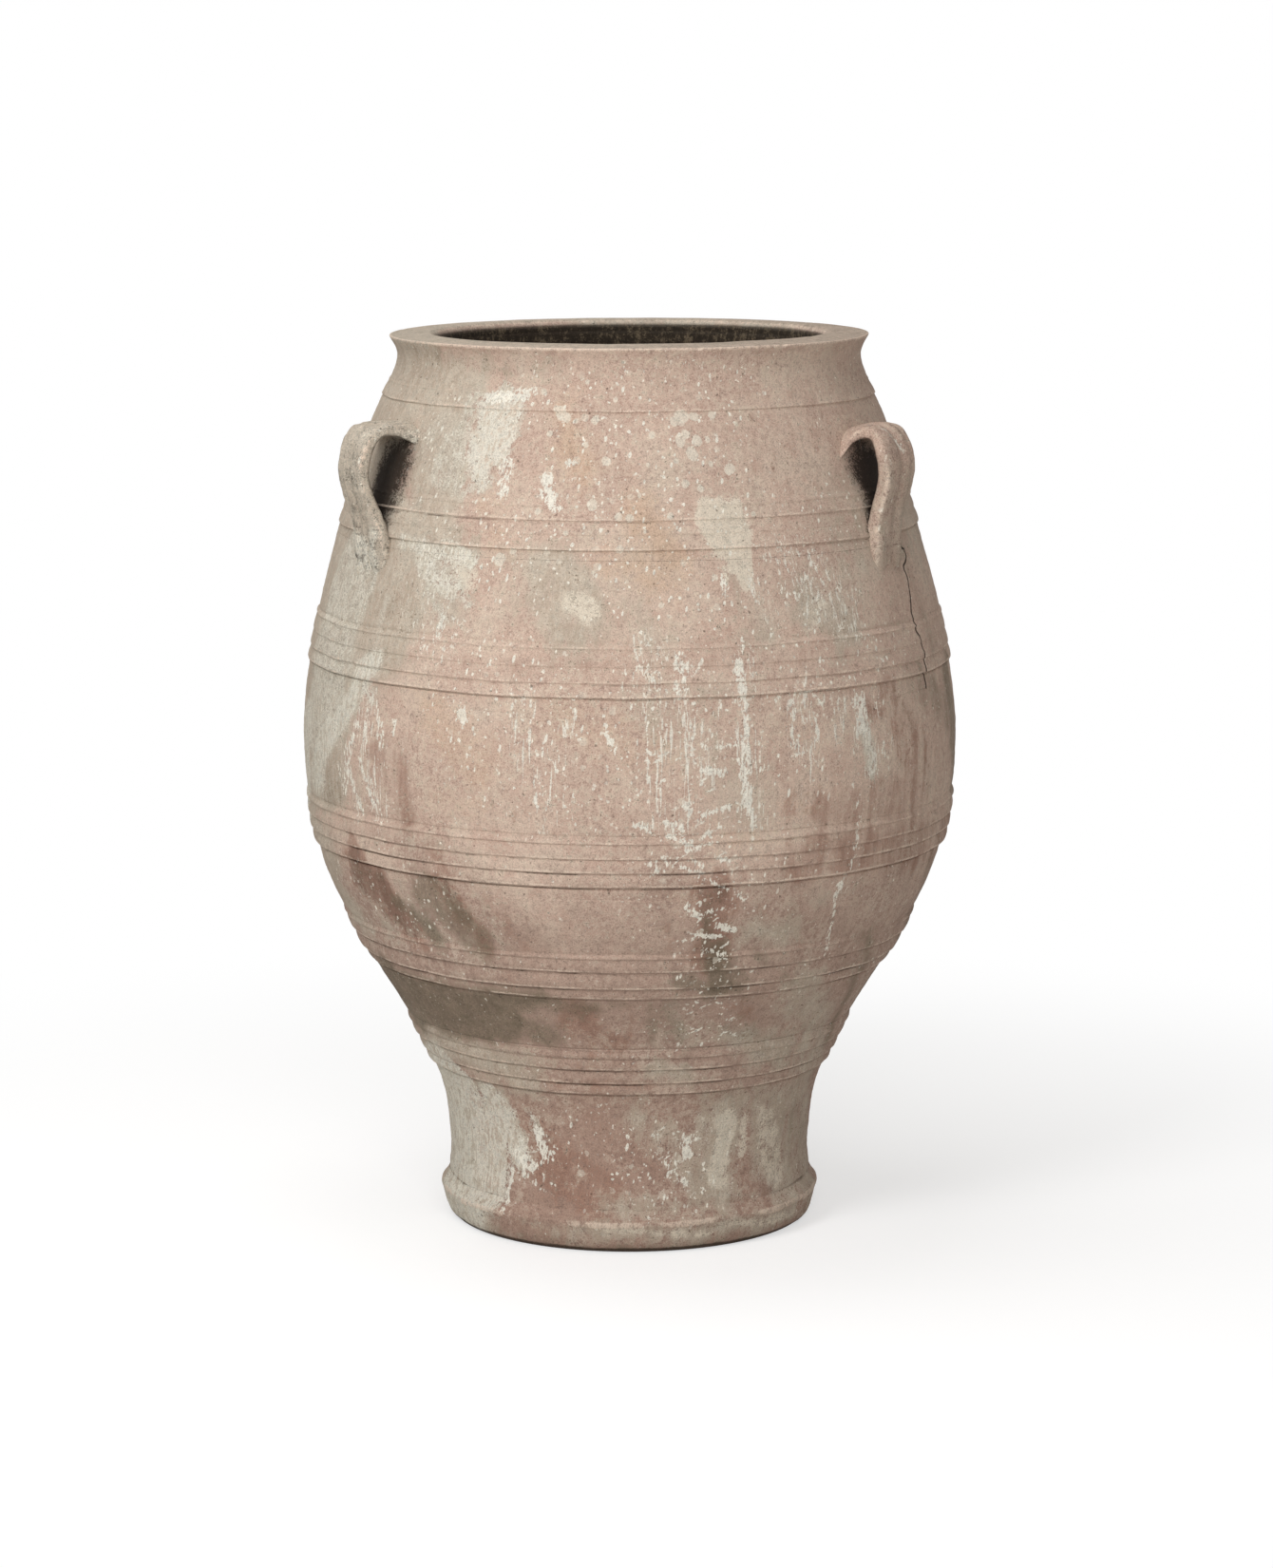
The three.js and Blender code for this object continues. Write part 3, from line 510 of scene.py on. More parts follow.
def hand_marks(corners):
    """Shallow dents, wiping lines and grit in the outer skin."""
    turn, radius, height = polar(corners)
    dents = noise_sum(corners, (0.4, 42, 11), (0.22, 17, 12))
    rings = np.stack([np.sin(np.radians(turn)) * 1.5, np.cos(np.radians(turn)) * 1.5, height / 7.0], axis=1)
    wiped = 0.26 * lattice_noise(rings, 1.0, 13) + 0.2 * lattice_noise(rings * 2.1, 1.0, 14)
    grit = 0.13 * lattice_noise(corners, 7, 15)
    return dents + wiped + grit


def groove_depth(turn, height):
    """Depth of the pressed lines at each corner."""
    level = height - waver(turn, height)
    depth = np.zeros(len(turn))
    for line, deep, half in GROOVES:
        depth = np.maximum(depth, deep * bell(level, line, half))
    return depth


def crack_side(turn, height, skin):
    """Distance to the crack, less than 0 to the left of it, so that it is 0 along the crack itself."""
    wall = wall_radius(height)
    jagged = turn + 1.1 * lattice_noise(skin, 9, 26) / wall * DEGREES_IN_RADIAN
    gap = np.min([segment_gap((*a, *b), jagged, height, wall) for a, b in zip(CRACK, CRACK[1:])], axis=0)
    left_side = jagged < np.interp(-height, -CRACK[:, 1], CRACK[:, 0])
    beside = left_side & (height < CRACK[0, 1]) & (height > CRACK[-1, 1])
    return np.where(beside, -gap, gap)


def stain(piece, hollow_shade=None, wear_and_highlight=None, crease_shade=None, kinds=tuple(STAINS)):
    """Paints placed stains, wear, painted shade and highlights as attributes that the material reads."""
    corners = corners_of(piece)
    turn, radius, height = polar(corners)
    skin = from_polar(turn, wall_radius(height), height)
    warp = [layered_noise(skin, 44, seed, 4) for seed in (21, 31)]
    nothing = np.zeros(len(turn))
    for kind, (strokes, soft) in STAINS.items():
        paint(piece, kind, stroke_field(strokes, soft, turn, height, warp) if kind in kinds else nothing)
    paint(piece, "crack", 0.5 + crack_side(turn, height, skin) / CRACK_SPREAD)
    # Corners inside the wall get painted shade, unless the piece gives its own
    inside = (radius < wall_radius(height) - SKIN_DEPTH).astype(float)
    paint(piece, "hollow_shade", inside if hollow_shade is None else hollow_shade)
    paint(piece, "wear_and_highlight", nothing if wear_and_highlight is None else wear_and_highlight)
    paint(piece, "crease_shade", nothing if crease_shade is None else crease_shade)


# The pieces of the jar

def rows_between(low, high, spacing):
    """Heights from low to high, evenly spaced."""
    return np.linspace(low, high, max(2, int(round((high - low) / spacing)) + 1))


def rows_with_lines(low, high, lines, spacing=ROW):
    """Heights from low to high, closer together near each line."""
    near = (-3.4, -2.2, -1.4, -0.8, -0.3, 0.1, 0.5, 1.0, 1.6, 2.4, 3.6)
    fine = sorted(line + gap for line in lines for gap in near if low < line + gap < high)
    rows = [low, *fine, high]
    plain = [h for h in rows_between(low, high, spacing) if min(abs(h - row) for row in rows) > 1.3]
    rows = sorted([*rows, *plain])
    kept = [rows[0]]
    for row in rows[1:-1]:
        if row - kept[-1] > 0.25 and rows[-1] - row > 0.25:
            kept.append(row)
    return np.array([*kept, rows[-1]])


def ring_wall(name, low, high):
    """One ring of the wall, from seam to seam."""
    heights = rows_with_lines(low, high, [line for line, _, _ in GROOVES])
    outside = [(float(wall_radius(h)), h) for h in heights]
    inside = [(float(inner_radius(h)), h) for h in rows_between(low, high, INNER_ROW)]
    piece = turned_piece(name + "_skin", [*outside, *reversed(inside), outside[0]])
    corners = corners_of(piece)
    turn, radius, height = polar(corners)
    outer = step_up(radius - wall_radius(height), -SKIN_DEPTH, -4)
    groove = groove_depth(turn, height) * outer
    moved = radius + thrown_wobble(corners) * step_up(height, 0, 30) + hand_marks(corners) * outer - groove
    move_corners(piece, from_polar(turn, np.minimum(moved, WIDEST), height))
    # Painted shade in the pressed lines, patchy round the jar
    patchy = np.clip(0.7 + 0.7 * lattice_noise(circle_of(turn, NOISE_RADIUS, height), 60, 77), 0.15, 1)
    stain(piece, crease_shade=np.clip(groove * 0.7, 0, 1) * patchy)
    return piece


def band_stand(ridges, top, height):
    """How far a band stands out from the wall at each height."""
    stand = np.full(len(height), -0.6)
    levels = [ridge[0] for ridge in ridges] + [top]
    for k, (level, proud, tuck, _) in enumerate(ridges):
        share = (height - level) / (levels[k + 1] - level)
        after = ridges[k + 1][2] if k + 1 < len(ridges) else -0.6
        back = after + (proud - after) * (1 - step_up(share, 0.28, 1.0))
        lip = tuck + (back - tuck) * step_up(height - level, -0.5, 1.1)
        stand = np.where((height >= level - 0.5) & (share < 1), lip, stand)
    return stand


def ridged_band(name):
    """A band of clay on the wall: each ridge has a crisp lower edge and slopes back above it."""
    ridges, top = BANDS[name]
    levels = [ridge[0] for ridge in ridges]
    bottom = levels[0]
    heights = rows_with_lines(bottom - 1.2, top + 1.0, levels)
    stands = band_stand(ridges, top, heights)
    front = [(float(wall_radius(h)) + s, h) for h, s in zip(heights, stands)]
    back = [(float(wall_radius(h)) - 4, h) for h in rows_between(top + 1.0, bottom - 1.2, 9.0)]
    piece = turned_piece(name + "_clay", [*front, *back, front[0]])
    turn, radius, height = polar(corners_of(piece))
    proud = radius - wall_radius(height)
    level = height
    height = height + waver(turn, height) * step_up(proud, -3, -1)
    circle = circle_of(turn, NOISE_RADIUS, level)
    uneven = 0.9 + noise_sum(circle, (0.22, 110, 73), (0.14, 26, 74))
    relief = ridges[0][1]
    chips = step_up(layered_noise(circle, 9, 75), 0.62, 1.2) * step_up(proud, relief * 0.5, relief)
    moved = wall_radius(height) + np.where(proud > 0, proud * uneven - chips * 1.5, proud)
    placed = from_polar(turn, moved, height)
    skin = thrown_wobble(placed) + 0.7 * hand_marks(placed) * (proud > -0.7)
    placed = from_polar(turn, np.minimum(moved + skin, WIDEST), height)
    move_corners(piece, placed)
    # Worn crests with a painted highlight, stronger where the line under them is darker
    crest = np.max([(0.3 + 0.8 * ridge[3]) * bell(level, ridge[0] + 1.9, 1.5) for ridge in ridges], axis=0)
    crest = crest * (0.8 + 0.6 * lattice_noise(placed, 22, 76)) * (proud > 0)
    patchy = np.clip(0.65 + noise_sum(circle, (0.7, 60, 77), (0.4, 14, 78)), 0.1, 1)
    # Painted shade in the line under each ridge, patchy round the jar
    groove = np.max([ridge[3] * bell(level, ridge[0] - 1.0, 1.2) for ridge in ridges[1:]], axis=0)
    groove = groove * patchy * (proud > -0.7)
    stain(piece, hollow_shade=(proud < -3).astype(float), wear_and_highlight=crest, crease_shade=groove)
    return piece


def rim_profile():
    """Neck, lip, crown and mouth: outside up, over the top and down inside."""
    low = SEAMS[-1]
    heights = rows_with_lines(low, NECK_HEIGHT, [line for line, _, _ in GROOVES])
    neck = [(float(wall_radius(h)), h) for h in heights]
    lip = [
        (246.8, 936), (247.2, 938), (247.8, 940.5), (248.6, 943), (249.7, 945.6), (251, 948),
        (252.3, 950.2), (253.4, 952), (254.3, 953.6), (254.8, 954.6), (255, 955.3), (254.9, 955.8),
        (254.5, 956.2), (253.8, 956.45), (252.6, 956.6), (250.5, 956.75), (247.5, 956.95), (244, 957.15),
        (240, 957.4), (235, 957.7), (230, 957.95), (225, 958.15), (220, 958.3), (216, 958.35), (213, 958.1),
        (211, 957.3), (209.4, 955.9), (208.2, 954), (207.3, 951.6), (206.8, 948.8), (206.5, 945.5),
        (207.1, 942.8), (206.5, 940), (206.5, 934), (206.8, 928), (210, 921), (219, 911),
    ]
    inner = [(float(inner_radius(low)), low)]
    return [*neck, *lip, *inner, neck[0]]


def rim():
    """The collar: a leaning crown, nicks in the lip and an uneven mouth."""
    piece = turned_piece("rim_collar_clay", rim_profile())
    corners = corners_of(piece)
    turn, radius, height = polar(corners)
    around = np.radians(turn)
    upper = step_up(height, 936, 952)
    circle = circle_of(turn, 230, height * 0)
    lean = 1.2 * np.cos(around) + 0.7 * np.sin(around) - 0.6
    wave = noise_sum(circle, (0.35, 120, 81), (0.25, 40, 82))
    edge = bell(radius, 254.6, 1.6) * bell(height, 955.6, 2.2)
    nicks = step_up(layered_noise(circle, 13, 83), 0.7, 1.3)
    mouth = step_up(height, 925, 935) * (1 - step_up(radius, 214, 222))
    uneven = noise_sum(circle, (1.6, 170, 84), (0.7, 60, 85))
    outside = step_up(radius, 212, 220)
    groove = groove_depth(turn, height) * outside
    height = height + upper * (lean + wave) - nicks * edge * 1.2
    moved = radius + thrown_wobble(corners) * 0.6 - nicks * edge * 1.6 + mouth * uneven - groove
    placed = from_polar(turn, moved, height)
    rings = np.stack([moved * 6, turn * 0.3, moved * 0], axis=1)
    crown = step_up(radius, 207.5, 212) * (1 - step_up(radius, 252.6, 254.2)) * step_up(height, 953, 955)
    placed[:, 2] += crown * (0.12 * lattice_noise(rings, 6, 86) + 0.22 * lattice_noise(placed, 24, 87))
    skin = hand_marks(placed) * (1 - upper) * outside
    placed = from_polar(turn, moved + skin, np.minimum(placed[:, 2], 959.9))
    move_corners(piece, placed)
    # Worn lip and mouth edges with a painted highlight; painted shade inside the mouth and in the pressed
    # lines
    inner_edge = step_up(height, 951, 955) * (1 - step_up(radius, 208.5, 213))
    under = radius < wall_radius(height) - SKIN_DEPTH
    hollow_shade = np.where(height < 930, under.astype(float), 1 - step_up(radius, 206.9, 208.6))
    stain(piece, hollow_shade=hollow_shade, wear_and_highlight=edge + 0.8 * inner_edge, crease_shade=groove)
    paint(piece, "crown", crown)
    return piece


def foot_ring():
    """The ring round the foot: a swelling side and a smeared raised edge."""
    side = [
        (189.5, 0), (191.6, 1), (194.6, 3.4), (197.2, 7), (199.6, 12), (201.4, 18), (202.8, 24), (204, 28.5),
        (204.9, 31), (205.2, 33), (204.9, 35), (203.9, 37), (202.2, 39), (200.6, 41.4), (199.2, 44),
        (197.6, 47), (196, 50),
    ]
    back = [(190, 48), (184, 24), (184, 0)]
    profile = []
    for (radius_a, high_a), (radius_b, high_b) in zip(side, side[1:]):
        profile += [(radius_a + (radius_b - radius_a) * t, high_a + (high_b - high_a) * t) for t in (0, 0.5)]
    profile += [side[-1], *back, side[0]]
    piece = turned_piece("foot_ring_clay", profile)
    corners = corners_of(piece)
    turn, radius, height = polar(corners)
    circle = circle_of(turn, 200, height * 0)
    free = step_up(height, 2, 20)
    smear = noise_sum(circle, (1.6, 90, 91), (1.1, 30, 92))
    lumps = noise_sum(corners, (1.0, 38, 93), (0.55, 15, 94), (0.3, 7, 97))
    chips = step_up(layered_noise(corners, 15, 95), 0.55, 1.2)
    chips = chips * (1 - step_up(height, 3, 15)) * (height > 0.5)
    outer = step_up(radius, 187, 190)
    moved = radius + outer * (lumps * step_up(height, 0.5, 5) - chips * 2.6 - 0.5)
    move_corners(piece, from_polar(turn, moved, height + smear * free * outer))
    # Worn crest with a painted highlight
    crest = step_up(radius, 203.6, 205) * (0.6 + 0.7 * lattice_noise(corners, 26, 96))
    # Painted shadow along the ground, and painted shade where the ring meets the wall
    ground_line = 1.4 * (1 - step_up(height, 2.5, 8)) * outer
    upper_line = 0.6 * step_up(height, 45, 49)
    stain(piece, hollow_shade=(radius < 188).astype(float), wear_and_highlight=crest * 1.2, crease_shade=ground_line + upper_line)
    return piece


def floor_slab():
    """The round floor, a little uneven inside."""
    outline = [
        (0.0, 0), (60, 0), (120, 0), (186.5, 0), (192, FLOOR_THICKNESS), (150, FLOOR_THICKNESS + 0.5),
        (100, FLOOR_THICKNESS), (50, FLOOR_THICKNESS + 0.8), (0.0, FLOOR_THICKNESS),
    ]
    piece = turned_piece("floor_slab_clay", outline)
    stain(piece, hollow_shade=(corners_of(piece)[:, 2] > 10).astype(float))
    return piece


# Middle line of a strap from its upper root over the shoulder and down: how far out from the wall, height,
# half width towards the front and towards the back, thickness, how far the front and the back edge droop,
# and how much the edges thin.
RIGHT_STRAP = (
    (-12, 858, 48, 52, 16, 22, 14, 0.6), (0, 862, 47, 50, 15, 21, 14, 0.65),
    (12, 865, 38, 40, 13.5, 7, 6, 0.3), (24, 866, 32, 31, 13.5, 1.5, 2, 0),
    (34.5, 860.5, 33, 27, 15.5, 0, 0, 0), (37.5, 845, 36, 27, 16.5, 0, 0, 0),
    (34, 826, 35, 25.5, 17, 0, 0, 0), (24.5, 806, 33, 23.5, 17.5, 0, 0, 0),
    (15, 789, 33, 22, 18, 0, 0, 0), (6.5, 770, 34, 20, 18, 0, 0, 0), (2, 752, 36, 19, 18, 0, 0, 0),
    (-1, 737, 36, 24, 15, 0, 0, 0.2), (-6, 722, 30, 26, 12, 0, 0, 0.3), (-11, 706, 22, 20, 9, 0, 0, 0.5),
)
LEFT_STRAP = (
    (-12, 862, 42, 50, 22, 9, 10, 0.3), (2, 865, 40, 48, 18, 8, 10, 0.3), (16, 867, 36, 38, 14.5, 3, 5, 0.15),
    (30, 867, 30, 31, 13.5, 0, 1, 0), (40.5, 861, 26, 29, 14.5, 0, 0, 0), (43, 843, 25, 29, 14.5, 0, 0, 0),
    (40, 824, 24, 28.5, 14, 0, 0, 0), (29, 803, 25, 28, 14.5, 0, 0, 0), (17.5, 785, 28, 26, 15, 0, 0, 0),
    (9.5, 768, 35, 22.5, 15.5, 0, 0, 0), (5, 752, 41, 22, 16, 0, 0, 0), (1.5, 738, 42, 25, 14, 0, 0, 0.2),
    (-3.5, 724, 38, 25, 12, 0, 0, 0.4), (-9, 708, 28, 20, 9, 0, 0, 0.5),
)
BACK_STRAP = tuple(tuple((a + b) / 2 for a, b in zip(*rows)) for rows in zip(RIGHT_STRAP, LEFT_STRAP))
STRAP_STEPS = 110
STRAP_SIDES = 72


def along_line(table, count):
    """A smooth run through the rows of a table, sampled evenly."""
    spots = np.linspace(0, len(table) - 1, count)
    low = np.clip(spots.astype(int), 0, len(table) - 2)
    t = (spots - low)[:, None]
    before = table[np.maximum(low - 1, 0)]
    here, there = table[low], table[low + 1]
    after = table[np.minimum(low + 2, len(table) - 1)]
    bend_in, bend_out = (there - before) / 2, (after - here) / 2
    return (
        here * (1 + 2 * t) * (1 - t) ** 2 + there * t * t * (3 - 2 * t)
        + bend_in * t * (1 - t) ** 2 + bend_out * t * t * (t - 1)
    )


def strap_section():
    """Corners spaced evenly round a flat section with rounded edges, between -1 and 1 both ways."""
    fine = np.linspace(0, math.tau, 4001)
    side, face = np.sin(fine), np.cos(fine)
    u = np.sign(side) * np.abs(side) ** 0.42
    v = np.sign(face) * np.abs(face) ** 0.42
    run = np.concatenate([[0], np.cumsum(np.hypot(np.diff(u) * 30, np.diff(v) * 8))])
    even = np.linspace(0, run[-1], STRAP_SIDES, endpoint=False)
    return np.interp(even, run, u), np.interp(even, run, v)


def strap_tube(name):
    """A tube of faces drawn by extrusion, one unit per step."""
    piece = start_piece(
        name, bpy.ops.mesh.primitive_circle_add, vertices=STRAP_SIDES, radius=1.0, fill_type="NGON",
    )
    bpy.ops.object.mode_set(mode="EDIT")
    bpy.ops.mesh.select_all(action="SELECT")
    for _ in range(STRAP_STEPS):
        bpy.ops.mesh.extrude_region_move(TRANSFORM_OT_translate={"value": (0, 0, 1.0)})
    bpy.ops.mesh.select_all(action="SELECT")
    bpy.ops.mesh.normals_make_consistent(inside=False)
    bpy.ops.object.mode_set(mode="OBJECT")
    return piece


def strap_relief(across, level, ribs):
    """Grooves drawn along a strap by the fingers, and the pinched clay of its lower end."""
    relief = -sum(deep * bell(across, place, half) for place, half, deep in ribs)
    lower = 1 - step_up(level, 742, 770)
    return relief + lower * (1.5 * np.cos(across / 5.2 + 0.6) * step_up(np.abs(across), 4, 14) - 0.4)


def thumb_print(across, level):
    """The hole pressed by a thumb near the lower end: 1 in the middle of it."""
    beside = across + 19
    return bell(beside, 0, 9) * bell(level - 0.3 * beside, 731, 4.4)


def strap_handle(name, rows, seed, ribs, crust, thumb_hole=False):
    """A strap pulled by hand: the tube is pressed into each section of the strap and bent into place."""
    piece = strap_tube(name + "_strap")
    raw = corners_of(piece) * MM
    step = np.clip(np.round(raw[:, 2]).astype(int), 0, STRAP_STEPS)
    side = np.round(np.arctan2(raw[:, 1], raw[:, 0]) / math.tau * STRAP_SIDES).astype(int) % STRAP_SIDES
    section_u, section_v = strap_section()
    u, v = section_u[side], section_v[side]
    line = along_line(np.array(rows, float), STRAP_STEPS + 1)
    middle = np.stack([wall_radius(line[:, 1]) + line[:, 0], line[:, 1]], axis=1)
    tangent = np.gradient(middle, axis=0)
    tangent /= np.linalg.norm(tangent, axis=1)[:, None]
    out, level, front, back, thick, droop_front, droop_back, thin = line[step].T
    across = u * np.where(u > 0, front, back)
    droop = np.where(u > 0, droop_front, droop_back) * np.abs(u) ** 3
    outer = step_up(v, -0.2, 0.6)
    shift = v * thick / 2 * (1 - thin * u * u) + outer * strap_relief(across, level, ribs)
    hole = outer * thumb_print(across, level) if thumb_hole else np.zeros(len(u))
    if thumb_hole:
        shift = shift - 2.2 * hole + 3 * outer * bell(across, -14, 11) * bell(level, 720, 6)
    height = level + tangent[step, 0] * shift - droop
    radius = middle[step, 0] - tangent[step, 1] * shift + wall_radius(height) - wall_radius(height + droop)
    hug = np.clip(1 - out / 24, 0, 1)
    angle = across / radius
    bent_across = across * (1 - hug) + radius * np.sin(angle) * hug
    bent_radius = radius * (1 - hug) + radius * np.cos(angle) * hug
    place = math.radians(HANDLE_TURNS[name])
    if HANDLE_TURNS[name] > 0:
        bent_across = -bent_across
    x = bent_radius * math.sin(place) + bent_across * math.cos(place)
    y = -bent_radius * math.cos(place) + bent_across * math.sin(place)
    corners = np.stack([x, y, height], axis=1)
    lumps = noise_sum(corners, (0.8, 30, seed), (0.6, 13, seed + 1))
    grit = noise_sum(corners, (0.7, 7, seed + 2), (0.6, 4.2, seed + 3))
    push = (lumps + crust * grit) * np.sign(v)
    corners[:, 0] -= push * tangent[step, 1] * math.sin(place)
    corners[:, 1] += push * tangent[step, 1] * math.cos(place)
    corners[:, 2] += push * tangent[step, 0]
    move_corners(piece, corners)
    # Worn edges with a painted highlight
    edge = step_up(np.abs(u), 0.82, 1.0) * outer
    # Painted shade in the finger grooves
    grooves = np.max([bell(across, place, half) for place, half, _ in ribs], axis=0) * outer * 0.25
    # Painted shade on the inner face, which faces the wall, and in the thumb hole
    inner = (1 - step_up(v, -0.9, -0.3)) * step_up(out, 4, 12)
    kinds = [kind for kind in STAINS if kind != "strap_shadow"]
    stain(piece, hollow_shade=np.zeros(len(x)), wear_and_highlight=edge * (0.5 + 0.5 * lumps), crease_shade=grooves, kinds=kinds)
    paint(piece, "shade", np.maximum(inner * 0.65, hole * 2.6))
    return piece


# Materials

def srgb(red, green, blue):
    """A colour written as it looks, 0 to 255, in the renderer's own scale."""
    parts = [value / 255 for value in (red, green, blue)]
    return tuple(p / 12.92 if p <= 0.04045 else ((p + 0.055) / 1.055) ** 2.4 for p in parts) + (1.0,)


class Wire:
    """A node's output that takes part in sums; each operator adds one Math node."""

    def __init__(self, recipe, socket):
        self.recipe = recipe
        self.socket = socket

    def sum_of(self, operation, first, second=0.0):
        """One Math node."""
        return self.recipe.add("ShaderNodeMath", {"operation": operation}, {0: first, 1: second})

    def __add__(self, other):
        return self.sum_of("ADD", self, other)

    def __radd__(self, other):
        return self.sum_of("ADD", other, self)

    def __sub__(self, other):
        return self.sum_of("SUBTRACT", self, other)

    def __rsub__(self, other):
        return self.sum_of("SUBTRACT", other, self)

    def __mul__(self, other):
        return self.sum_of("MULTIPLY", self, other)

    def __rmul__(self, other):
        return self.sum_of("MULTIPLY", other, self)

    def __abs__(self):
        return self.sum_of("ABSOLUTE", self)

    def rise(self, low, high):
        """Smooth rise from 0 at low to 1 at high."""
        return self.recipe.add(
            "ShaderNodeMapRange", {"interpolation_type": "SMOOTHSTEP"},
            {"Value": self, "From Min": low, "From Max": high},
        )

    def other(self, name):
        """Another output of the same node."""
        return Wire(self.recipe, self.socket.node.outputs[name])


class Recipe:
    """The nodes of one material or of the room."""

    def __init__(self, holder):
        self.holder = holder
        holder.use_nodes = True
        self.tree = holder.node_tree
        self.tree.nodes.clear()
        self.colour = None

    def add(self, kind, settings=None, sockets=None, output=0):
        """Adds a node, sets it up and connects it."""
        node = self.tree.nodes.new(kind)
        for key, value in (settings or {}).items():
            setattr(node, key, value)
        for key, value in (sockets or {}).items():
            if isinstance(value, Wire):
                self.tree.links.new(value.socket, node.inputs[key])
            else:
                node.inputs[key].default_value = value
        return Wire(self, node.outputs[output]) if node.outputs else node

    def blend(self, share, first, second, mode="MIX"):
        """Mixes two colours: all first at 0, all second at 1."""
        return self.add(
            "ShaderNodeMix", {"data_type": "RGBA", "blend_type": mode, "clamp_factor": True},
            {0: share, 6: first, 7: second}, output=2,
        )

    def lay(self, share, colour):
        """Lays a coat of colour over the coats so far, as thick as its share."""
        self.colour = self.blend(share, self.colour, colour)

    def painted(self, name):
        """The painted values of a piece."""
        return self.add("ShaderNodeAttribute", {"attribute_name": name}, output="Fac")

    def noise(self, scale, detail, rough, place):
        """Soft random values round 0."""
        sockets = {"Vector": place, "Scale": scale, "Detail": detail, "Roughness": rough}
        return self.add("ShaderNodeTexNoise", None, sockets) - 0.5

    def sized(self, place, size, lean=0.0):
        """Places for a pattern whose cells have the given size in metres and lean to one side."""
        return self.add(
            "ShaderNodeMapping", {"vector_type": "TEXTURE"},
            {"Vector": place, "Rotation": (0.0, lean, 0.0), "Scale": size},
        )

    def spots(self, place, small, large, keep):
        """Spots of many sizes, in shares of a cell: 1 inside a spot. Only some cells, keep, have one."""
        cell = self.add("ShaderNodeTexVoronoi", None, {"Vector": place, "Scale": 1.0}, output="Distance")
        pick = self.add("ShaderNodeSeparateColor", None, {0: cell.other("Color")})
        chance = self.add("ShaderNodeMath", {"operation": "LESS_THAN"}, {0: pick, 1: keep})
        chosen = pick.other("Green")
        size = small + (large - small) * (chosen * chosen)
        return ((size - cell) * (1.0 / small)).rise(0.0, 0.5) * chance


PEACH = srgb(209, 186, 169)
PINK = srgb(199, 171, 155)
ROSE = srgb(184, 151, 136)
SAND = srgb(207, 191, 172)
OCHRE_CLAY = srgb(199, 168, 143)
MAUVE = srgb(168, 141, 127)
RED_BROWN = srgb(157, 122, 106)
DEEP_RED = srgb(126, 99, 85)
FILM_LIGHT = srgb(202, 191, 174)
FILM_GREY = srgb(174, 160, 143)
WASH_BEIGE = srgb(220, 209, 191)
LIME_WHITE = srgb(226, 221, 207)
LIME_GREY = srgb(194, 186, 170)
SPLASH_WHITE = srgb(235, 230, 217)
CREAM = srgb(221, 211, 195)
OLIVE = srgb(124, 112, 94)
DARK_OLIVE = srgb(84, 74, 60)
# Painted shadow behind the straps and painted shade on their inner faces
SHADE_BROWN = srgb(30, 18, 8)
# Painted shade inside the jar, with dust
HOLLOW_SHADE_BROWN = srgb(46, 38, 29)
HOLLOW_SHADE_DUST = srgb(96, 84, 68)
CRACK_BROWN = srgb(40, 30, 24)
# Worn clay and painted highlight
WEAR_AND_HIGHLIGHT_CLAY = srgb(224, 204, 186)
# Painted shade in the lines, also the dark specks in the clay
CREASE_SHADE_AND_SPECK_BROWN = srgb(60, 47, 36)
CROWN_LEFT = srgb(180, 168, 152)
CROWN_RIGHT = srgb(168, 153, 138)


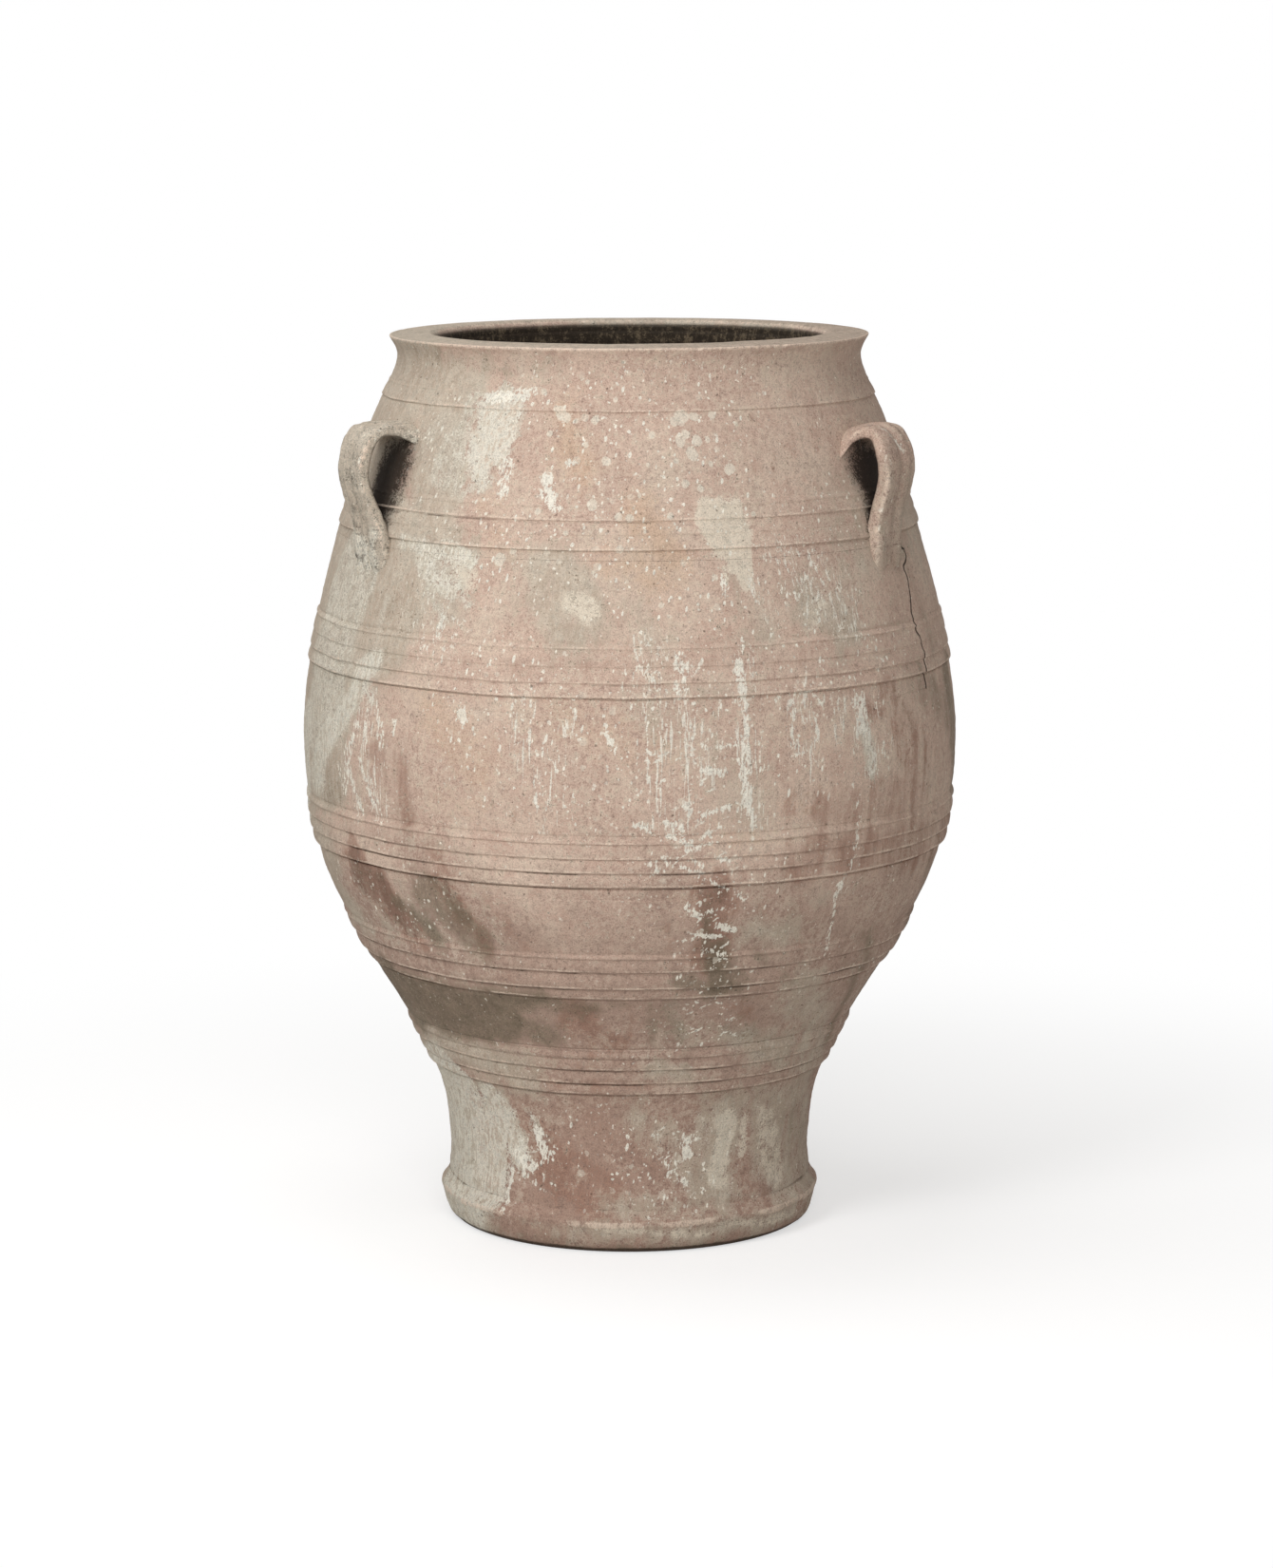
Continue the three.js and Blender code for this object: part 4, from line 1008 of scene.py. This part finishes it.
def weathered_clay(name, tint=None, tint_share=0.0, limed=0.0, crusty=1.0):
    """Old terracotta: each coat of colour is laid over those before it."""
    clay = Recipe(bpy.data.materials.new(name))
    place = clay.add("ShaderNodeTexCoord", output="Object")
    sides = clay.add("ShaderNodeSeparateXYZ", None, {0: place})
    high = sides.other("Z")
    cloud = clay.noise(7.0, 4.0, 0.6, place)
    blotch = clay.noise(21.0, 4.0, 0.62, place)
    mottle = clay.noise(58.0, 5.0, 0.68, place)
    patch = clay.noise(160.0, 4.0, 0.68, place)
    grain = clay.noise(600.0, 3.0, 0.7, place)
    grit = clay.noise(1150.0, 2.0, 0.6, place)
    streaks = clay.noise(1.0, 4.0, 0.62, clay.sized(place, (0.017, 0.017, 0.17)))
    brushed = clay.noise(1.0, 4.0, 0.68, clay.sized(place, (0.004, 0.004, 0.03), 0.12))
    rough_edge = mottle * 1.2 + patch * 1.5 + grain * 1.3
    ragged = clay.add(
        "ShaderNodeTexNoise", None, {"Vector": place, "Scale": 260.0, "Detail": 3.0}, output="Color",
    )
    torn = clay.add(
        "ShaderNodeVectorMath", {"operation": "MULTIPLY_ADD"}, {0: ragged, 1: (0.005,) * 3, 2: place},
    )

    # Fired clay: peach, pink and rose, browner towards the foot, under a thin pale veil
    clay.colour = clay.blend((cloud + blotch * 0.6).rise(-0.12, 0.14), PEACH, PINK)
    clay.lay((mottle + blotch * 0.8 + patch * 0.4).rise(-0.03, 0.18) * 0.7, ROSE)
    clay.lay((patch - blotch * 0.6 + grain * 0.5).rise(0.0, 0.16) * 0.6, SAND)
    clay.lay((clay.painted("ochre") + mottle + patch * 0.8).rise(0.25, 0.9) * 0.6, OCHRE_CLAY)
    low = (high * -1.0 + 0.47 + cloud * 0.3 + streaks * 0.12).rise(-0.02, 0.14)
    clay.lay(low * 0.8, MAUVE)
    clay.lay((high * -1.0 + 0.19 + blotch * 0.15).rise(0.0, 0.06) * 0.3, RED_BROWN)
    red = clay.painted("red") + streaks * 1.1 + rough_edge * 0.6
    clay.lay(red.rise(0.32, 0.7) * 0.8, RED_BROWN)
    clay.lay(red.rise(0.75, 1.1) * 0.8, DEEP_RED)
    veil = cloud * 0.7 + blotch + mottle * 0.7 + patch + grain * 0.8 + brushed * 0.4
    clay.lay(veil.rise(-0.02, 0.26) * 0.4, FILM_LIGHT)
    if tint:
        clay.lay(tint_share, tint)

    # Grey film, beige wash and olive soot
    film = clay.painted("film") + rough_edge * 0.55 + streaks * 0.9 + brushed * 0.7 + limed
    greyer = (blotch + patch * 1.4 + grain + brushed * 1.4).rise(-0.12, 0.16)
    film_colour = clay.blend(greyer, FILM_LIGHT, FILM_GREY)
    clay.lay(film.rise(0.26, 0.8) * (0.82 - patch * 1.2), film_colour)
    wash = (clay.painted("wash") + rough_edge * 0.6).rise(0.38, 0.62)
    clay.lay(wash * (0.8 - patch), WASH_BEIGE)
    soot = clay.painted("soot") + streaks + mottle * 0.6 + patch * 1.1 + grain * 1.5
    clay.lay(soot.rise(0.3, 0.85) * (0.76 - patch * 1.4 - streaks * 0.6), OLIVE)
    clay.lay(soot.rise(0.8, 1.3) * 0.6, DARK_OLIVE)

    # Thick white lime with a worn skin, and narrow drops of it
    lime = clay.painted("lime") + rough_edge * 0.62 + brushed * 0.6 + limed * 0.5
    thick = lime.rise(0.46, 0.6) * (0.96 - (patch + grain + brushed).rise(0.03, 0.2) * 0.62)
    lime_colour = clay.blend((mottle + patch + brushed * 1.4).rise(-0.06, 0.18), LIME_WHITE, LIME_GREY)
    clay.lay(thick * 0.9, lime_colour)
    splatter = clay.noise(1.0, 3.0, 0.6, clay.sized(place, (0.0026, 0.0026, 0.0075), 0.1))
    drops = (clay.painted("drops") + splatter * 2.6 + patch).rise(0.54, 0.66)
    clay.lay(drops * 0.9, SPLASH_WHITE)

    # Round splashes, short dashes, and the cream dots on the shoulder
    splashed = clay.painted("splash") + mottle * 1.2
    large = clay.spots(clay.sized(torn, (0.017, 0.017, 0.018)), 0.10, 0.32, 0.6)
    small = clay.spots(clay.sized(torn, (0.0068, 0.0068, 0.0085)), 0.10, 0.30, 0.9)
    dash = clay.spots(clay.sized(place, (0.0066, 0.0066, 0.019), 0.2), 0.11, 0.28, 0.8)
    clay.lay(large * splashed.rise(0.3, 0.7) * (0.5 - patch), CREAM)
    clay.lay(small * splashed.rise(0.15, 0.6) * 0.9, SPLASH_WHITE)
    clay.lay(dash * (splashed + blotch).rise(0.0, 0.5) * 0.9, SPLASH_WHITE)
    cream = (clay.painted("cream") + rough_edge * 0.5).rise(0.44, 0.6)
    clay.lay(cream * (0.78 - patch * 1.3), CREAM)

    # Hair-thin drips and broader runs, flecks that slant to either side, and fine dust
    drips = clay.painted("drips")
    hairs = clay.noise(1.0, 3.0, 0.55, clay.sized(place, (0.0034, 0.0034, 0.055)))
    hairs = (hairs + grain * 0.15 + drips * 0.1).rise(0.16, 0.2) * (drips + mottle * 1.5).rise(0.2, 0.5)
    runs = clay.noise(1.0, 2.0, 0.5, clay.sized(place, (0.011, 0.011, 0.11)))
    runs = (1.0 - abs(runs).rise(0.004, 0.011)) * (drips + mottle * 2.0 + patch * 1.5).rise(0.55, 0.8)
    clay.lay(hairs * 0.8, SPLASH_WHITE)
    clay.lay(runs * 0.8, SPLASH_WHITE)
    right_flecks = clay.spots(clay.sized(torn, (0.021, 0.0075, 0.0052), -0.45), 0.12, 0.36, 0.9)
    left_flecks = clay.spots(clay.sized(torn, (0.017, 0.0075, 0.0058), 0.6), 0.12, 0.34, 0.8)
    flecks = (right_flecks + left_flecks) * (clay.painted("flecks") + mottle * 1.5).rise(0.42, 0.75)
    clay.lay(flecks * 0.9, SPLASH_WHITE)
    dust = clay.spots(clay.sized(torn, (0.0055, 0.0055, 0.006)), 0.11, 0.26, 0.6)
    clay.lay(dust * (cloud + mottle).rise(-0.16, 0.12) * 0.75, SPLASH_WHITE)

    # Painted shadow behind the straps and painted shade on their inner faces, pits, worn crests with a
    # painted highlight, painted shade in the lines, the crown, the crack and painted shade inside
    # Painted shadow behind the straps
    clay.lay((clay.painted("strap_shadow") + rough_edge * 0.6 + grain).rise(0.08, 0.72) * 0.95, SHADE_BROWN)
    # Painted shade on the straps' inner faces and in the thumb hole
    clay.lay(clay.painted("shade") * 0.85, SHADE_BROWN)
    pits = clay.spots(clay.sized(torn, (0.0065,) * 3), 0.06, 0.2, 0.3)
    specks = (grain + patch * 0.6).rise(0.12, 0.2)
    clay.lay(pits * 0.6, DARK_OLIVE)
    clay.lay(specks * 0.16, CREASE_SHADE_AND_SPECK_BROWN)
    # Worn crests and edges with a painted highlight
    clay.lay((clay.painted("wear_and_highlight") + rough_edge * 0.6).rise(0.3, 0.9) * 0.6, WEAR_AND_HIGHLIGHT_CLAY)
    # Painted shade in the lines and grooves
    clay.lay((clay.painted("crease_shade") + rough_edge * 0.5).rise(0.25, 0.95) * 0.92, CREASE_SHADE_AND_SPECK_BROWN)
    crown_colour = clay.blend((sides + blotch * 0.4).rise(-0.22, 0.25), CROWN_LEFT, CROWN_RIGHT)
    clay.lay(clay.painted("crown") * (0.85 - rough_edge * 0.8), crown_colour)
    gap = 1.0 - (abs(clay.painted("crack") - 0.5) + patch * 0.03).rise(0.012, 0.027)
    clay.lay(gap * 0.95, CRACK_BROWN)
    # Painted shade inside the jar, with dust
    hollow_shade_colour = clay.blend((rough_edge + brushed).rise(-0.05, 0.4) * 0.85, HOLLOW_SHADE_BROWN, HOLLOW_SHADE_DUST)
    clay.lay(clay.painted("hollow_shade"), hollow_shade_colour)

    # Light and dark grains, and the relief that the light catches
    uneven = grain * 1.5 + grit * 0.8 + patch * 1.1 + mottle * 0.6 + brushed * 0.3
    light = 1.0 + uneven * crusty + blotch * 0.25
    grey = clay.add("ShaderNodeCombineColor", None, {0: light, 1: light, 2: light})
    colour = clay.blend(1.0, clay.colour, grey, "MULTIPLY")
    laid_on = thick * 0.12 + (hairs + drops + flecks) * 0.1 + cream * 0.06
    lift = (
        mottle * 0.5 + patch * 0.7 + grain * 0.55 + grit * 0.15 + laid_on + brushed * 0.25
        - pits * 0.8 - specks * 0.3 - gap * 1.6
    )
    bump = clay.add("ShaderNodeBump", None, {"Strength": 0.8, "Distance": 0.002 * crusty, "Height": lift})
    shader = clay.add(
        "ShaderNodeBsdfPrincipled", None,
        {"Base Color": colour, "Roughness": 0.88 + mottle * 0.12, "Normal": bump, "Specular IOR Level": 0.2},
    )
    clay.add("ShaderNodeOutputMaterial", None, {"Surface": shader})
    return clay.holder


def dress(piece, material, slot, *nodes):
    """Gives a piece its material, stands it in for its nodes and lets it ride on the jar."""
    piece.data.materials.clear()
    piece.data.materials.append(material)
    bpy.ops.object.select_all(action="DESELECT")
    piece.select_set(True)
    bpy.context.view_layer.objects.active = piece
    bpy.ops.object.shade_smooth()
    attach(piece, "root")
    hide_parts(*nodes)


wall_clay = weathered_clay("weathered_clay")
handle_clay = weathered_clay("handle_clay", MAUVE, 0.22, 0.0, 1.4)
limed_handle_clay = weathered_clay("limed_handle_clay", SPLASH_WHITE, 0.62, 0.2, 1.9)

for ring, low, high in zip(WALL_RINGS, (FLOOR_THICKNESS, *SEAMS), SEAMS):
    dress(ring_wall(ring, low, high), wall_clay, "wall_clay", ring)
for band_name in BANDS:
    dress(ridged_band(band_name), wall_clay, "band_clay", band_name)
dress(rim(), wall_clay, "rim_clay", "rim_collar")
dress(foot_ring(), wall_clay, "foot_clay", "foot_ring")
dress(floor_slab(), wall_clay, "foot_clay", "floor_slab")
right_strap = strap_handle("handle_right", RIGHT_STRAP, 101, ((4, 6, 2.6), (-16, 4, 1.3)), 0.45)
back_strap = strap_handle("handle_back", BACK_STRAP, 111, ((2, 5.5, 2.4), (-15, 4, 1.0)), 0.6)
left_grooves = ((-1, 5, 2.4), (14, 3.5, 0.8), (-17, 4, 0.9))
left_strap = strap_handle("handle_left", LEFT_STRAP, 121, left_grooves, 1.0, thumb_hole=True)
dress(right_strap, handle_clay, "handle_clay", "handle_right")
dress(back_strap, handle_clay, "handle_clay", "handle_back")
dress(left_strap, limed_handle_clay, "handle_clay", "handle_left")


# Floor, light and camera

# Distances from the jar, in metres, over which the floor fades to white
SHADOW_FADE = (0.5, 1.5)


def straight_rays(recipe):
    """1 for rays that show the floor or the room themselves, 0 for rays that only light something else."""
    path = recipe.add("ShaderNodeLightPath", output="Is Camera Ray")
    return path + path.other("Is Glossy Ray") + path.other("Is Transmission Ray")


def pale_floor():
    """A floor that shows the jar's shadow near it and turns white farther out."""
    floor = start_piece("pale_floor", bpy.ops.mesh.primitive_plane_add, size=40.0, location=(0, 0, -0.0005))
    sheet = Recipe(bpy.data.materials.new("pale_floor"))
    place = sheet.add("ShaderNodeTexCoord", output="Object")
    away = sheet.add("ShaderNodeVectorMath", {"operation": "LENGTH"}, {0: place}, output="Value")
    chalk = sheet.add("ShaderNodeBsdfDiffuse", None, {"Color": (0.55, 0.55, 0.55, 1.0)})
    glow = sheet.add("ShaderNodeEmission", None, {"Color": (1.0, 1.0, 1.0, 1.0), "Strength": 0.56})
    white = sheet.add("ShaderNodeEmission", None, {"Color": (1.0, 1.0, 1.0, 1.0), "Strength": 1.0})
    near = sheet.add("ShaderNodeAddShader", None, {0: chalk, 1: glow})
    seen = sheet.add("ShaderNodeMixShader", None, {0: away.rise(*SHADOW_FADE), 1: near, 2: white})
    bounce = sheet.add("ShaderNodeBsdfDiffuse", None, {"Color": (0.68, 0.67, 0.65, 1.0)})
    both = sheet.add("ShaderNodeMixShader", None, {0: straight_rays(sheet), 1: bounce, 2: seen})
    sheet.add("ShaderNodeOutputMaterial", None, {"Surface": both})
    floor.data.materials.append(sheet.holder)


def white_world():
    """A white room, as seen; its own light on the jar is weaker."""
    room = Recipe(bpy.data.worlds.new("white_room"))
    light = room.add("ShaderNodeBackground", None, {"Color": (1.0, 0.97, 0.93, 1.0), "Strength": 0.3})
    white = room.add("ShaderNodeBackground", None, {"Color": (1.0, 1.0, 1.0, 1.0), "Strength": 1.0})
    both = room.add("ShaderNodeMixShader", None, {0: straight_rays(room), 1: light, 2: white})
    room.add("ShaderNodeOutputWorld", None, {"Surface": both})
    bpy.context.scene.world = room.holder


def soft_lamp(name, place, aim, size, power):
    """A square lamp at a place, turned to its aim."""
    lamp = bpy.data.lights.new(name, "AREA")
    lamp.shape = "RECTANGLE"
    lamp.size, lamp.size_y = size
    lamp.energy = power
    holder = bpy.data.objects.new(name, lamp)
    bpy.context.scene.collection.objects.link(holder)
    holder.location = place
    holder.rotation_euler = (Vector(aim) - Vector(place)).to_track_quat("-Z", "Y").to_euler()


def camera():
    """The photograph's camera, found from the ellipses of the rim, the bands and the foot."""
    focal_pixels, picture_pixels, long_side = 4959, 1650, 36.0
    lens = bpy.data.cameras.new("camera")
    lens.sensor_width = long_side
    lens.lens = long_side * focal_pixels / picture_pixels
    holder = bpy.data.objects.new("camera", lens)
    bpy.context.scene.collection.objects.link(holder)
    holder.location = (0.0076, -5.0184, 1.3024)
    looks_down = 9.424
    holder.rotation_euler = (math.radians(90 - looks_down), 0, 0)
    bpy.context.scene.camera = holder


pale_floor()
white_world()
soft_lamp("key_lamp", (-2.1, -3.2, 2.95), (0, 0, 0.5), (1.4, 1.4), 85)
soft_lamp("front_lamp", (0.42, -4.2, 2.05), (0, 0, 0.45), (1.6, 1.6), 54)
soft_lamp("top_lamp", (-0.6, 0.2, 3.2), (0, 0, 0.8), (2.0, 2.0), 27)
camera()

bpy.context.scene.view_settings.view_transform = "Standard"
